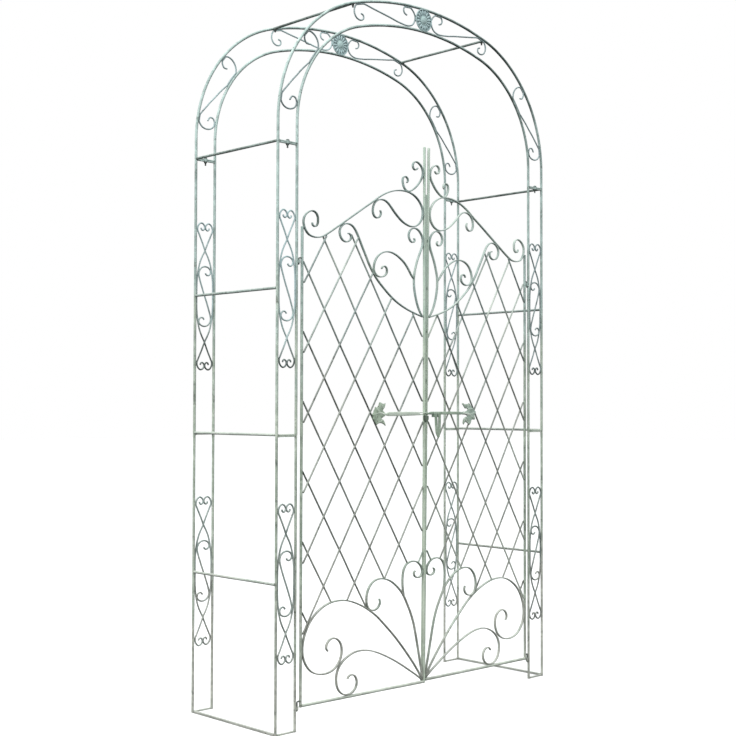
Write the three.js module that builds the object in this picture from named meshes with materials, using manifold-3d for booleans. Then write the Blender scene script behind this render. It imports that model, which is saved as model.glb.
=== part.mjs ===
// Garden arch with a two-leaf scrollwork gate.
//
// Millimetres, +Z up, the gate facing -Y, origin at the centre of the ground footprint.
// Two flat arch frames (front and rear) stand 446 mm apart and are tied by side rungs and two
// arch rungs. Each frame is a band of two round rails that climbs each leg in two plug-together
// sections and closes over the top in one hoop. The front frame carries two gate leaves on
// eye-and-hook hinges. A slotted bar slides on a stud on the left meeting stile and shoots behind a
// strap on the right leaf. At rest it is drawn back and both leaves stand a little ajar. The right
// leaf is twisted a little, so its free edge hangs back towards the foot.

import * as THREE from 'three';
import { mergeVertices } from 'three/addons/utils/BufferGeometryUtils.js';
import Module from 'manifold-3d';

const wasm = await Module();
wasm.setup();

// ---------------------------------------------------------------- driving dimensions
const DEPTH = 446;             // front frame plane to rear frame plane
const OUTER_X = 682.5;         // outer rail centreline
const INNER_X = 600.5;         // inner rail centreline
const MID_X = (OUTER_X + INNER_X) / 2;
const BAND = OUTER_X - INNER_X;

const RAIL_R = 5.0;            // upper legs and hoops
const RAIL_R_LOW = 4.6;        // lower legs, slimmer because they plug into the upper ones
const RUNG_R = 4.6;
const GAP = 0.3;               // clearance kept between touching pieces

const Z_C = 960;               // joint between lower and upper leg
const Z_A = 1920;              // joint between upper leg and hoop
const Z_D = 480;               // middle of a lower leg
const Z_B = 1440;              // middle of an upper leg

const HAUNCH_Z = 1990;         // hoop: height where the haunch arc starts
const HAUNCH_CX = 204.5;       // hoop: haunch arc centre
const HAUNCH_R = 478;          // hoop: haunch radius on the outer rail
const CROWN_CZ = 1285;         // hoop: crown arc centre height
const CROWN_R = 1212;          // hoop: crown radius on the outer rail

const WIRE = 5;                // ornament wire in legs and hoops
const STRIP_T = 4;             // gate scroll bar, thickness in the plane of the leaf
const STRIP_D = 9;             // gate scroll bar, depth front to back
const ROD = 4.4;               // lattice rod
const ROD_LAYER = 1.8;         // lattice rods lie in two layers, this far either side of the plane
const STILE_R = 5;

const HINGE_STILE_X = 577;     // hinge stile centreline
const LEAF_W = 566;            // hinge stile centre to meeting stile centre
const HINGE_X = 591;           // hinge axis
const AJAR = THREE.MathUtils.degToRad(1.8);   // each leaf rests this far forward of the frame
const RAIL_Z = 76;             // gate bottom rail centreline
const HINGE_STILE_TOP = 1650;
const MEET_STILE_TOP = 1990;
const FILLER_TOP = 1819;
const TWIST = 20.8;            // how far the right leaf's lower free corner lies behind its plane

const LATCH_Z = 1030;
const LATCH_TRAVEL = 30;       // how far the latch bar slides
const MEDALLION_R = 41.5;
const MEDALLION_Z = 2456;

const Y0 = -206.44;            // front frame plane in the part's frame
const Z0 = 5;                  // base bar centreline above the ground

// ---------------------------------------------------------------- solids
function solid(geometry) {
  let g = geometry.clone();
  g.deleteAttribute('normal');
  g.deleteAttribute('uv');
  g = mergeVertices(g, 1e-4);
  const index = g.index.array;
  const tri = [];
  for (let i = 0; i < index.length; i += 3) {
    const [a, b, c] = [index[i], index[i + 1], index[i + 2]];
    if (a !== b && b !== c && a !== c) tri.push(a, b, c);
  }
  return new wasm.Manifold(new wasm.Mesh({
    numProp: 3,
    vertProperties: new Float32Array(g.attributes.position.array),
    triVerts: new Uint32Array(tri),
  }));
}

function join(list) {
  return list.slice(1).reduce((a, b) => a.add(b), list[0]);
}

function geometryOf(manifold) {
  const m = manifold.getMesh();
  const g = new THREE.BufferGeometry();
  const pos = new Float32Array((m.vertProperties.length / m.numProp) * 3);
  for (let i = 0; i < pos.length / 3; i++) {
    for (let k = 0; k < 3; k++) pos[3 * i + k] = m.vertProperties[m.numProp * i + k];
  }
  g.setAttribute('position', new THREE.BufferAttribute(pos, 3));
  g.setIndex(new THREE.BufferAttribute(new Uint32Array(m.triVerts), 1));
  g.computeVertexNormals();
  return g;
}

// ---------------------------------------------------------------- curves in an upright plane
// Points are [x, z]. A centripetal Catmull-Rom curve goes through the control points.
function smooth(points, step = 1.5) {
  const P = points;
  const n = P.length;
  const at = (i) => {
    if (i < 0) return [2 * P[0][0] - P[1][0], 2 * P[0][1] - P[1][1]];
    if (i >= n) return [2 * P[n - 1][0] - P[n - 2][0], 2 * P[n - 1][1] - P[n - 2][1]];
    return P[i];
  };
  const gap = (a, b) => Math.sqrt(Math.max(Math.hypot(a[0] - b[0], a[1] - b[1]), 1e-6));
  const out = [];
  for (let i = 0; i < n - 1; i++) {
    const [p0, p1, p2, p3] = [at(i - 1), at(i), at(i + 1), at(i + 2)];
    const t0 = 0;
    const t1 = t0 + gap(p0, p1);
    const t2 = t1 + gap(p1, p2);
    const t3 = t2 + gap(p2, p3);
    const k = Math.max(2, Math.ceil(Math.hypot(p2[0] - p1[0], p2[1] - p1[1]) / step));
    for (let j = 0; j < k; j++) {
      const t = t1 + ((t2 - t1) * j) / k;
      const q = [0, 1].map((d) => {
        const a1 = ((t1 - t) * p0[d] + (t - t0) * p1[d]) / (t1 - t0);
        const a2 = ((t2 - t) * p1[d] + (t - t1) * p2[d]) / (t2 - t1);
        const a3 = ((t3 - t) * p2[d] + (t - t2) * p3[d]) / (t3 - t2);
        const b1 = ((t2 - t) * a1 + (t - t0) * a2) / (t2 - t0);
        const b2 = ((t3 - t) * a2 + (t - t1) * a3) / (t3 - t1);
        return ((t2 - t) * b1 + (t - t1) * b2) / (t2 - t1);
      });
      out.push(q);
    }
  }
  out.push(P[n - 1]);
  return out;
}

// Keeps the fewest points of a dense curve that hold it to the tolerance.
function thin(points, tolerance) {
  const keep = new Array(points.length).fill(false);
  keep[0] = keep[points.length - 1] = true;
  const stack = [[0, points.length - 1]];
  while (stack.length) {
    const [a, b] = stack.pop();
    const [ax, az] = points[a];
    const [bx, bz] = points[b];
    const L = Math.hypot(bx - ax, bz - az);
    let far = 0;
    let at = -1;
    for (let i = a + 1; i < b; i++) {
      const [x, z] = points[i];
      const d = L < 1e-6
        ? Math.hypot(x - ax, z - az)
        : Math.abs((bx - ax) * (z - az) - (bz - az) * (x - ax)) / L;
      if (d > far) { far = d; at = i; }
    }
    if (far > tolerance) {
      keep[at] = true;
      stack.push([a, at], [at, b]);
    }
  }
  return points.filter((_, i) => keep[i]);
}

// A path in the plane y = offset. The section's first axis stays square to that plane and its
// second axis stays in it, and the second axis is stretched at each bend so the bar keeps its width.
class PlanePath extends THREE.Curve {
  constructor(points, y = 0) {
    super();
    this.stops = points.map(([x, z]) => new THREE.Vector3(x, y, z));
  }

  getPoint(t, target = new THREE.Vector3()) {
    const f = t * (this.stops.length - 1);
    const i = Math.min(Math.floor(f), this.stops.length - 2);
    return target.copy(this.stops[i]).lerp(this.stops[i + 1], f - i);
  }

  getSpacedPoints() {
    return this.stops.map((p) => p.clone());
  }

  computeFrenetFrames() {
    const P = this.stops;
    const legs = P.slice(1).map((p, i) => p.clone().sub(P[i]).normalize());
    const tangents = P.map((_, i) => {
      const a = legs[Math.max(i - 1, 0)];
      const b = legs[Math.min(i, legs.length - 1)];
      return a.clone().add(b).normalize();
    });
    const normals = P.map(() => new THREE.Vector3(0, 1, 0));
    const binormals = tangents.map((t, i) => {
      const cos = Math.max(t.dot(legs[Math.min(i, legs.length - 1)]), 0.7);
      return t.clone().cross(normals[i]).normalize().divideScalar(cos);
    });
    return { tangents, normals, binormals };
  }
}

// depth is across the plane (Y), width is in it
function flatSection(depth, width) {
  return new THREE.Shape([
    new THREE.Vector2(-depth / 2, -width / 2),
    new THREE.Vector2(depth / 2, -width / 2),
    new THREE.Vector2(depth / 2, width / 2),
    new THREE.Vector2(-depth / 2, width / 2),
  ]);
}

// Round members are prisms whose flats lie at the true radius.
const around = (radius, sides) => radius / Math.cos(Math.PI / sides);

function roundSection(radius, sides) {
  const turn = Math.PI / sides;
  const corner = around(radius, sides);
  return new THREE.Shape(Array.from({ length: sides }, (_, i) => {
    const a = turn + (2 * Math.PI * i) / sides;
    return new THREE.Vector2(corner * Math.cos(a), corner * Math.sin(a));
  }));
}

function sweep(section, points, y = 0) {
  const path = new PlanePath(points, y);
  return new THREE.ExtrudeGeometry(section, {
    steps: points.length - 1,
    bevelEnabled: false,
    extrudePath: path,
  });
}

const wire = (points, y = 0) => solid(sweep(flatSection(WIRE, WIRE), points, y));

// ---------------------------------------------------------------- straight members
function upright(x, y, z0, z1, radius, sides = 8) {
  const corner = around(radius, sides);
  return new THREE.CylinderGeometry(corner, corner, z1 - z0, sides)
    .rotateY(Math.PI / sides)
    .rotateX(Math.PI / 2)
    .translate(x, y, (z0 + z1) / 2);
}

function alongY(x, z, y0, y1, radius, sides = 8) {
  const corner = around(radius, sides);
  return new THREE.CylinderGeometry(corner, corner, y1 - y0, sides)
    .rotateY(Math.PI / sides)
    .translate(x, (y0 + y1) / 2, z);
}

function alongX(x0, x1, y, z, radius, sides = 8) {
  const corner = around(radius, sides);
  return new THREE.CylinderGeometry(corner, corner, x1 - x0, sides)
    .rotateY(Math.PI / sides)
    .rotateZ(Math.PI / 2)
    .translate((x0 + x1) / 2, y, z);
}

function block(x0, x1, y0, y1, z0, z1) {
  return new THREE.BoxGeometry(Math.abs(x1 - x0), Math.abs(y1 - y0), Math.abs(z1 - z0))
    .translate((x0 + x1) / 2, (y0 + y1) / 2, (z0 + z1) / 2);
}

// an outline of [x, z] points given thickness from y0 to y1
function plate(outline, y0, y1) {
  const shape = new THREE.Shape(outline.map(([x, z]) => new THREE.Vector2(x, z)));
  return new THREE.ExtrudeGeometry(shape, { depth: y1 - y0, bevelEnabled: false, steps: 1 })
    .rotateX(Math.PI / 2)
    .translate(0, y1, 0);
}

// ---------------------------------------------------------------- finish
const PAINT = {
  leg: 0x9fb0a0, hoop: 0x93a79d, rung: 0x6f7f75, ornament: 0x8c9ca0,
  stile: 0x9aae9f, scroll: 0x94a89d, lattice: 0x8d978e, casting: 0x93b08d, hardware: 0x66756b,
};
const paint = (key) => new THREE.MeshStandardMaterial({
  color: PAINT[key], roughness: 0.68, metalness: 0.15,
});

const arch = new THREE.Group();
arch.name = 'garden_arch_with_gate';
arch.position.set(0, Y0, Z0);

function add(group, name, geometry, key) {
  const mesh = new THREE.Mesh(geometry, paint(key));
  mesh.name = name;
  group.add(mesh);
  return mesh;
}

// ---------------------------------------------------------------- legs
// A leg section is an outer and an inner rail with a flat bar across each end.
const BAR_H = 4.7;             // joint bar thickness
const BAR_W = 12;              // joint bar width, front to back
const BOLT_R = 3;

function hingeEye(side, z0, z1) {
  // ring on the hinge axis, welded to the inner rail
  const x = side * HINGE_X;
  const ring = solid(upright(x, 0, z0, z1, 5, 12)).add(
    solid(block(side * (HINGE_X + 3.4), side * (INNER_X - 2.5), -2.2, 2.2, z0 + 0.8, z1 - 0.8)),
  );
  return ring.subtract(solid(upright(x, 0, z0 - 2, z1 + 2, 3.1, 12)));
}

function legSection(side, lower, hinge) {
  const r = lower ? RAIL_R_LOW : RAIL_R;
  const z0 = lower ? -Z0 : Z_C + GAP / 2;
  const z1 = lower ? Z_C - GAP / 2 : Z_A - GAP / 2;
  const xo = side * OUTER_X;
  const xi = side * INNER_X;
  const parts = [
    solid(upright(xo, 0, z0, z1, r)),
    solid(upright(xi, 0, z0, z1, r)),
    solid(block(xo, xi, -BAR_W / 2 + 2, BAR_W / 2 - 2, z1 - BAR_H, z1)),
  ];
  if (lower) {
    parts.push(solid(block(xo, xi, -3, 3, z0, z0 + 6)));
  } else {
    parts.push(solid(block(xo, xi, -4, 4, z0, z0 + BAR_H)));
    // bolt boss in the middle of the top joint bar
    parts.push(solid(upright(side * MID_X, 0, z1 - BAR_H, z1, 7.5, 8)));
  }
  if (hinge) parts.push(hinge);
  let all = join(parts);
  if (!lower) all = all.subtract(solid(upright(side * MID_X, 0, z1 - 20, z1 + 5, BOLT_R + 0.6, 8)));
  return geometryOf(all);
}

// Leg ornament, t across the band from its middle, s up from the section's middle. Two rods cross
// twice and end in four curls, and a flat S lies between them.
const curlTop = [
  [-17.5, 241], [-15.5, 235], [-9.5, 232.5], [-3.4, 237.5], [-2.3, 246], [-8.5, 254.5],
  [-17.5, 257.5], [-26.5, 252.5], [-32, 243], [-33.2, 232],
];
const LEG_ROD = [
  ...curlTop, [-27, 218], [-12, 187], [0, 159.5], [12, 138], [20, 120], [26, 99], [30.5, 75],
  [33.2, 46], [33.2, -46], [30.5, -75], [26, -99], [20, -120], [12, -138], [0, -159.5],
  [-12, -187], [-27, -218], ...curlTop.map(([t, s]) => [t, -s]).reverse(),
];
const LEG_S = [
  [2, 82], [7, 76], [14, 74.5], [21, 78], [25, 86], [23, 95], [14, 102.5], [0, 105], [-13, 101],
  [-22, 92], [-26, 80], [-24, 66], [-11, 28], [0, 0], [11, -28], [24, -66], [26, -80], [22, -92],
  [13, -101], [0, -105], [-14, -102.5], [-23, -95], [-25, -86], [-21, -78], [-14, -74.5],
  [-7, -76], [-2, -82],
];

function legOrnament(side, zMid) {
  const limit = 33.2;
  const place = (pts, mirror) => thin(smooth(pts).map(([t, s]) => {
    const c = Math.max(-limit, Math.min(limit, mirror * t));
    return [side * MID_X - side * c, zMid + s];
  }), 1.7);
  return geometryOf(join([
    wire(place(LEG_ROD, 1)),
    wire(place(LEG_ROD, -1)),
    wire(place(LEG_S, 1)),
  ]));
}

const legs = new THREE.Group();
arch.add(legs);
const rearGroup = new THREE.Group();
rearGroup.position.set(0, DEPTH, 0);
arch.add(rearGroup);

for (const [sideName, side] of [['left', -1], ['right', 1]]) {
  for (const [faceName, group] of [['front', legs], ['rear', rearGroup]]) {
    const front = faceName === 'front';
    add(group, `${sideName}_${faceName}_lower_leg`,
      legSection(side, true, front ? hingeEye(side, 64, 77) : null), 'leg');
    add(group, `${sideName}_${faceName}_upper_leg`,
      legSection(side, false, front ? hingeEye(side, 1527, 1540) : null), 'leg');
    add(group, `${sideName}_${faceName}_lower_leg_scroll`, legOrnament(side, Z_D), 'ornament');
    add(group, `${sideName}_${faceName}_upper_leg_scroll`, legOrnament(side, Z_B), 'ornament');
  }
}

// ---------------------------------------------------------------- hoops
const HOOP_TOLERANCE = 1.0;
function hoopPath(offset) {
  // offset is measured from the outer rail towards the passage
  const turn = Math.atan2(HAUNCH_CX, HAUNCH_Z - CROWN_CZ);
  const right = [[OUTER_X - offset, Z_A + GAP / 2]];
  for (let i = 0; i <= 120; i++) {
    const a = ((Math.PI / 2 - turn) * i) / 120;
    right.push([HAUNCH_CX + (HAUNCH_R - offset) * Math.cos(a), HAUNCH_Z + (HAUNCH_R - offset) * Math.sin(a)]);
  }
  for (let i = 1; i <= 60; i++) {
    const a = turn * (1 - i / 60);
    right.push([(CROWN_R - offset) * Math.sin(a), CROWN_CZ + (CROWN_R - offset) * Math.cos(a)]);
  }
  const left = right.slice(0, -1).map(([x, z]) => [-x, z]);
  return [...left, ...right.reverse()];
}

function hoop() {
  const rail = (offset) => solid(sweep(roundSection(RAIL_R, 8), thin(hoopPath(offset), HOOP_TOLERANCE)));
  const z0 = Z_A + GAP / 2;
  const parts = [rail(0), rail(BAND)];
  for (const side of [-1, 1]) {
    parts.push(solid(block(side * OUTER_X, side * INNER_X, -4, 4, z0, z0 + BAR_H)));
    parts.push(solid(upright(side * MID_X, 0, z0, z0 + BAR_H, 7.5, 8)));
  }
  let all = join(parts);
  for (const side of [-1, 1]) {
    all = all.subtract(solid(upright(side * MID_X, 0, z0 - 5, z0 + 20, BOLT_R + 0.6, 8)));
  }
  return geometryOf(all);
}

// Holds a curve inside the band of the hoop: the distance from the band's middle line is limited.
function insideBand(points, limit) {
  const mid = BAND / 2;
  return points.map(([x, z]) => {
    const ax = Math.abs(x);
    const s = Math.sign(x) || 1;
    if (z <= HAUNCH_Z) {
      const t = Math.max(-limit, Math.min(limit, ax - (OUTER_X - mid)));
      return [s * (OUTER_X - mid + t), z];
    }
    const crown = ax * (HAUNCH_Z - CROWN_CZ) < HAUNCH_CX * (z - CROWN_CZ);
    const [cx, cz, R] = crown ? [0, CROWN_CZ, CROWN_R - mid] : [HAUNCH_CX, HAUNCH_Z, HAUNCH_R - mid];
    const d = Math.hypot(ax - cx, z - cz);
    const t = Math.max(-limit, Math.min(limit, d - R));
    return [s * (cx + ((ax - cx) * (R + t)) / d), cz + ((z - cz) * (R + t)) / d];
  });
}

const SHOULDER = [
  [633, 2062], [623, 2075], [609, 2073], [603, 2059], [608, 2044], [622, 2034.5], [642, 2032.5],
  [660, 2040], [670.5, 2056], [669.5, 2074], [659, 2089], [641, 2109], [622, 2130], [601, 2151],
  [581, 2172], [558, 2193], [533, 2214], [515, 2236], [508, 2258], [512, 2281], [527, 2299],
  [548, 2306], [565, 2297], [570, 2280], [562, 2264], [548, 2262],
];
const CROWN = [
  [84, 2458], [96, 2463], [101, 2474], [96, 2485], [84, 2490.5], [68, 2489], [53, 2479],
  [42.6, 2462], [44.5, 2445], [56, 2429], [78, 2421], [126, 2424], [170, 2432], [214, 2439],
  [259, 2446], [300, 2452], [325, 2448], [340, 2434], [343, 2415], [333, 2398], [314, 2392],
  [300, 2399], [300, 2411], [311, 2416],
];

const bandLimit = BAND / 2 - RAIL_R - WIRE / 2 - GAP - HOOP_TOLERANCE - 0.6;

function shoulderScroll(side) {
  const pts = insideBand(smooth(SHOULDER), bandLimit).map(([x, z]) => [side * x, z]);
  return geometryOf(wire(thin(pts, 0.8)));
}

function rosette() {
  // a dished disc with a raised centre and a rim, facing forward
  const profile = [
    [0, -8.2], [13, -7.2], [17, -4.2], [36.5, -4.2], [38.5, -6], [41.5, -5.5], [41.5, -0.5],
    [0, -0.5],
  ].map(([r, y]) => new THREE.Vector2(r, y));
  return solid(new THREE.LatheGeometry(profile, 20).translate(0, 0, MEDALLION_Z));
}

function crownScrollwork() {
  const half = (side) => wire(thin(
    insideBand(smooth(CROWN), bandLimit).map(([x, z]) => [side * x, z]), 0.8));
  const rails = [0, BAND].map((offset) => solid(sweep(
    roundSection((RAIL_R + GAP) * 1.03, 8), thin(hoopPath(offset), HOOP_TOLERANCE))));
  let all = join([half(-1), half(1), rosette()]);
  for (const r of rails) all = all.subtract(r);
  return geometryOf(all);
}

for (const [faceName, group] of [['front', legs], ['rear', rearGroup]]) {
  add(group, `${faceName}_hoop`, hoop(), 'hoop');
  add(group, `${faceName}_left_shoulder_scroll`, shoulderScroll(-1), 'ornament');
  add(group, `${faceName}_right_shoulder_scroll`, shoulderScroll(1), 'ornament');
  add(group, `${faceName}_crown_scrollwork`, crownScrollwork(), 'ornament');
}

// bolts through the joint bars under the hoops
function jointBolt(side) {
  const x = side * MID_X;
  return geometryOf(join([
    solid(upright(x, 0, Z_A - BAR_H - 14, Z_A + BAR_H + 2, BOLT_R, 12)),
    solid(upright(x, 0, Z_A + BAR_H + GAP + 0.2, Z_A + BAR_H + 5, 6, 6)),
    solid(upright(x, 0, Z_A - BAR_H - 6, Z_A - BAR_H - GAP - 0.2, 6, 6)),
  ]));
}
for (const [sideName, side] of [['left', -1], ['right', 1]]) {
  add(legs, `front_${sideName}_joint_bolt`, jointBolt(side), 'hardware');
  add(rearGroup, `rear_${sideName}_joint_bolt`, jointBolt(side), 'hardware');
}

// ---------------------------------------------------------------- rungs
const rungs = new THREE.Group();
arch.add(rungs);
const RUNG_Y0 = RAIL_R + GAP;
const RUNG_Y1 = DEPTH - RAIL_R - GAP;
for (const [sideName, side] of [['left', -1], ['right', 1]]) {
  const x = side * OUTER_X;
  for (const [label, z] of [['base', -0.4], ['lower_side', Z_D], ['middle_side', Z_C + 2.5],
    ['upper_side', Z_B], ['top_side', Z_A + 1]]) {
    const g = label === 'base'
      ? block(x - 4.5, x + 4.5, RUNG_Y0, RUNG_Y1, -Z0, -Z0 + 8)
      : alongY(x, z, RUNG_Y0, RUNG_Y1, RUNG_R);
    add(rungs, `${sideName}_${label}_rung`, g, 'rung');
  }
}

// The arch rungs sit on the outer rails at the haunches, with a short bolt under each end.
const ARCH_RUNG_X = 337;
const archRungZ = CROWN_CZ + Math.sqrt(CROWN_R ** 2 - ARCH_RUNG_X ** 2);
for (const [sideName, side] of [['left', -1], ['right', 1]]) {
  const x = side * ARCH_RUNG_X;
  const lug = (y) => solid(upright(x, y, archRungZ - 15, archRungZ + 1, 4.4, 8));
  add(rungs, `${sideName}_arch_rung`, geometryOf(join([
    solid(alongY(x, archRungZ, RUNG_Y0 + 0.4, RUNG_Y1 - 0.4, RUNG_R)),
    lug(RUNG_Y0 + 9), lug(RUNG_Y1 - 9),
  ])), 'rung');
}

// ---------------------------------------------------------------- gate leaves
// u runs from the hinge stile's centreline to the meeting stile's, z up from the base bars.
const TOP_BAR = [
  [42.5, 1667], [44.5, 1659.5], [51.5, 1655], [60, 1657], [66, 1665.5], [67.5, 1677], [66.5, 1688], [61, 1698.5], [51, 1705], [39, 1705.5],
  [24.5, 1699.5], [12, 1688], [5.5, 1672], [6.5, 1657], [13.5, 1641], [27, 1627], [45, 1620.5],
  [64, 1619.5], [84, 1623], [105, 1633], [160, 1667], [215, 1702], [270, 1737], [318, 1767],
  [350, 1788], [390, 1807], [430, 1817.5], [465, 1820], [497, 1816], [524, 1804], [543, 1787],
  [554.5, 1768], [557.4, 1750], [553, 1729], [540, 1711], [521, 1699.5], [500, 1696.5],
  [478, 1701], [455, 1711], [430, 1729], [413, 1744], [398, 1759], [386, 1769], [373, 1775.5],
  [356, 1777.5], [338, 1773], [324, 1762], [316.5, 1747], [315.5, 1730], [321, 1717.5],
  [331, 1711.5], [342, 1713], [350, 1720], [353.5, 1730], [350, 1739],
];
const FINIAL = [
  [532, 1910], [526.5, 1904], [519, 1902], [511.5, 1906], [508, 1915], [511, 1925],
  [518.5, 1930.5], [528, 1931], [540, 1926], [550, 1917], [556, 1905], [557.4, 1892], [553, 1877],
  [541, 1859], [521, 1838.5], [502, 1826], [488, 1821], [476, 1822.5], [466, 1831], [459.5, 1844],
  [457.5, 1857], [460.5, 1867], [467.5, 1871.5], [476, 1871], [482.5, 1865], [483.5, 1857],
  [478.5, 1851],
];
const SECOND_BAR = [
  [201, 1645], [208.5, 1644], [214.5, 1637.5], [214, 1628], [206, 1619.5], [194, 1615.5],
  [180, 1618.5], [169, 1628.5], [163.5, 1643], [165.5, 1658], [174.5, 1669], [188, 1676.5],
  [203, 1678], [218, 1674], [230, 1665], [240, 1652], [250, 1635], [262, 1612], [280, 1580],
  [298, 1547], [318, 1518], [340, 1493], [370, 1466], [405, 1438.5], [440, 1417.5], [480, 1400],
  [515, 1388.5], [557, 1376.5],
];
const HEART = [
  [357, 1535], [361.5, 1542], [369.5, 1545.5], [378, 1542], [382.5, 1532.5], [380, 1520.5],
  [370.5, 1511.5], [357, 1507], [342, 1508], [328.5, 1515.5], [321, 1529], [321.5, 1545],
  [328, 1563], [341, 1579.5], [360, 1591.5], [384, 1597], [408, 1595], [430, 1587.5], [452, 1575],
  [470, 1561], [486, 1543], [499, 1525.5], [512, 1511],
];
const LENS = [
  [513.5, 1656], [517.5, 1649.5], [514.5, 1643], [506, 1640.5], [497, 1644.5], [490.5, 1653.5],
  [488, 1664.5], [491, 1676], [499.5, 1686], [512, 1691.5], [526, 1691], [540, 1683.5],
  [551, 1670.5], [557.2, 1655], [557.4, 1641], [553, 1625], [542, 1602], [530.5, 1577],
  [521, 1549], [514.5, 1521], [513.5, 1498], [516.5, 1471], [523, 1443], [532.5, 1416],
  [544, 1394], [556, 1378],
];
const FANS = [
  [
    [556, 84], [545, 105], [520, 140], [490, 177], [460, 212], [430, 245], [400, 275], [370, 303],
    [340, 330], [300, 357.5], [270, 374], [240, 387], [205, 398], [172, 402.5], [140, 401.5],
    [108, 394], [75, 377], [50, 357], [31, 333], [17, 305], [9, 277], [7.6, 250], [13, 225],
    [26, 201], [46, 181], [72, 169.5], [100, 166], [127, 169.5], [150, 180.5], [167, 198],
    [176.5, 220], [178, 240], [172, 260], [158, 274], [140, 280], [123, 275], [112, 262],
    [110.5, 248], [117, 239],
  ],
  [
    [556, 84], [530, 103], [500, 122], [460, 147], [420, 170], [380, 190], [340, 207], [305, 218],
    [270, 223], [238, 221.5], [208, 212], [182, 196.5], [164, 176.5], [155, 153], [154.5, 130],
    [161, 109], [174, 93], [192, 84.2], [211, 83.5], [228, 89], [241, 101], [246.5, 117],
    [243.5, 132.5], [234, 143.5], [221, 147], [210, 143], [204, 135],
  ],
  [
    [557, 84], [554, 115], [547, 148], [540, 180], [533, 212], [525, 248], [514, 290], [500, 327],
    [483, 360], [466, 390], [450, 410], [429, 429], [403, 446.5], [375, 456.5], [346, 459],
    [322, 452.5], [305, 438], [294, 419], [289.5, 397], [292, 376], [301, 361.5], [317, 354],
    [334, 356], [347, 365], [353, 378], [349.5, 391],
  ],
  [
    [468, 386], [463.5, 405], [460.5, 430], [461, 458], [466.5, 482], [478, 498], [495, 505.5],
    [514, 507], [531, 503], [545, 493], [554.5, 479.5], [557.2, 465], [552, 454], [541, 448],
    [528, 449], [518.5, 456], [516.5, 466], [522, 472.5],
  ],
];
// lattice rods as [u0, z0, u1, z1]: those that rise towards the meeting stile lie in front
const RODS_UP = [
  [373.9, 460.6, 557.1, 767.4], [201.3, 402.5, 557.1, 998.6], [7.9, 309.8, 557.1, 1229.8],
  [7.9, 541, 512.2, 1385.8], [7.9, 772.2, 403.8, 1435.5], [7.9, 1003.4, 314.3, 1516.7],
  [7.9, 1234.6, 246.2, 1633.8], [7.9, 1465.8, 104.4, 1627.4],
];
const RODS_DOWN = [
  [7.9, 377, 30.6, 339.1], [7.9, 608.2, 130.1, 403.6], [7.9, 839.4, 288.3, 369.8],
  [7.9, 1070.6, 371.4, 461.6], [7.9, 1301.8, 483.6, 504.9], [7.9, 1533, 557.1, 613],
  [92.4, 1622.7, 557.1, 844.2], [219.6, 1640.8, 557.1, 1075.4], [510.1, 1385.3, 557.1, 1306.6],
];
const SHORT_ROD = [536.2, 501.2, 557.1, 536.2];

const U_MIN = STILE_R + STRIP_T / 2 + GAP;
const U_MAX = LEAF_W - 1 - STILE_R - STRIP_T / 2 - GAP;
const Z_MIN = RAIL_Z + STILE_R + STRIP_T / 2 + GAP;

// The right leaf's twist. Members that keep one u or one z are sheared, so they stay straight.
function twisted(geometry, side, { u, z } = {}) {
  if (side < 0) return geometry;
  const p = geometry.attributes.position;
  for (let i = 0; i < p.count; i++) {
    const across = Math.min(1, Math.max(0, (u ?? -side * p.getX(i)) / LEAF_W));
    const down = (MEET_STILE_TOP - (z ?? p.getZ(i))) / (MEET_STILE_TOP - RAIL_Z);
    p.setY(i, p.getY(i) + TWIST * across * down);
  }
  geometry.computeVertexNormals();
  return geometry;
}

function leafStrip(points, side, tolerance = 1.25) {
  const pts = smooth(points).map(([u, z]) => [
    -side * (Math.max(z < HINGE_STILE_TOP + 3 ? U_MIN : -99, Math.min(U_MAX, u))), Math.max(Z_MIN, z),
  ]);
  return solid(twisted(sweep(flatSection(STRIP_D, STRIP_T), thin(pts, tolerance)), side));
}

function rod([u0, z0, u1, z1], side, layer) {
  const n = side < 0 ? 1 : Math.ceil(Math.hypot(u1 - u0, z1 - z0) / 220);
  const points = Array.from({ length: n + 1 }, (_, i) => [
    -side * (u0 + ((u1 - u0) * i) / n), z0 + ((z1 - z0) * i) / n,
  ]);
  return solid(twisted(sweep(flatSection(ROD, ROD), points, layer), side));
}

// Cast leaves at the ends of the latch bars, as [x, z] from the latch's level. The left one is
// measured from the left meeting stile and the right one from the middle of the gate.
const LEFT_LEAF = [
  [-194, 2.6], [-201.4, 1], [-212.4, 10.6], [-206, 20], [-201, 36.6], [-213.5, 35], [-221, 38.4],
  [-230.2, 39.4], [-237.2, 26.3], [-243, 22.2], [-249.6, 24.4], [-256.4, 12.2], [-265.2, -3.6],
  [-260, -9], [-262.6, -17.6], [-243, -38.8], [-226.6, -32.4], [-200.6, -42.4], [-206.8, -26],
  [-219.2, -17.4], [-207, -9.4], [-201.4, -7.4], [-194, -7],
];
const RIGHT_LEAF = [
  [186, 5], [201.4, 7.2], [212.5, 8.2], [219.6, 12.6], [206, 18.4], [188.8, 36.5], [198.8, 37.4],
  [205.2, 33.2], [229.6, 38.2], [240.4, 28.8], [254.2, 18.8], [270.2, 5.2], [261.4, -8.6],
  [262.8, -23], [246.5, -23.6], [231, -43], [209.1, -32], [197.6, -41.8], [194.6, -26],
  [208.4, -13.6], [217.4, -11.6], [203.9, -4.8], [186, -3.6],
];

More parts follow.
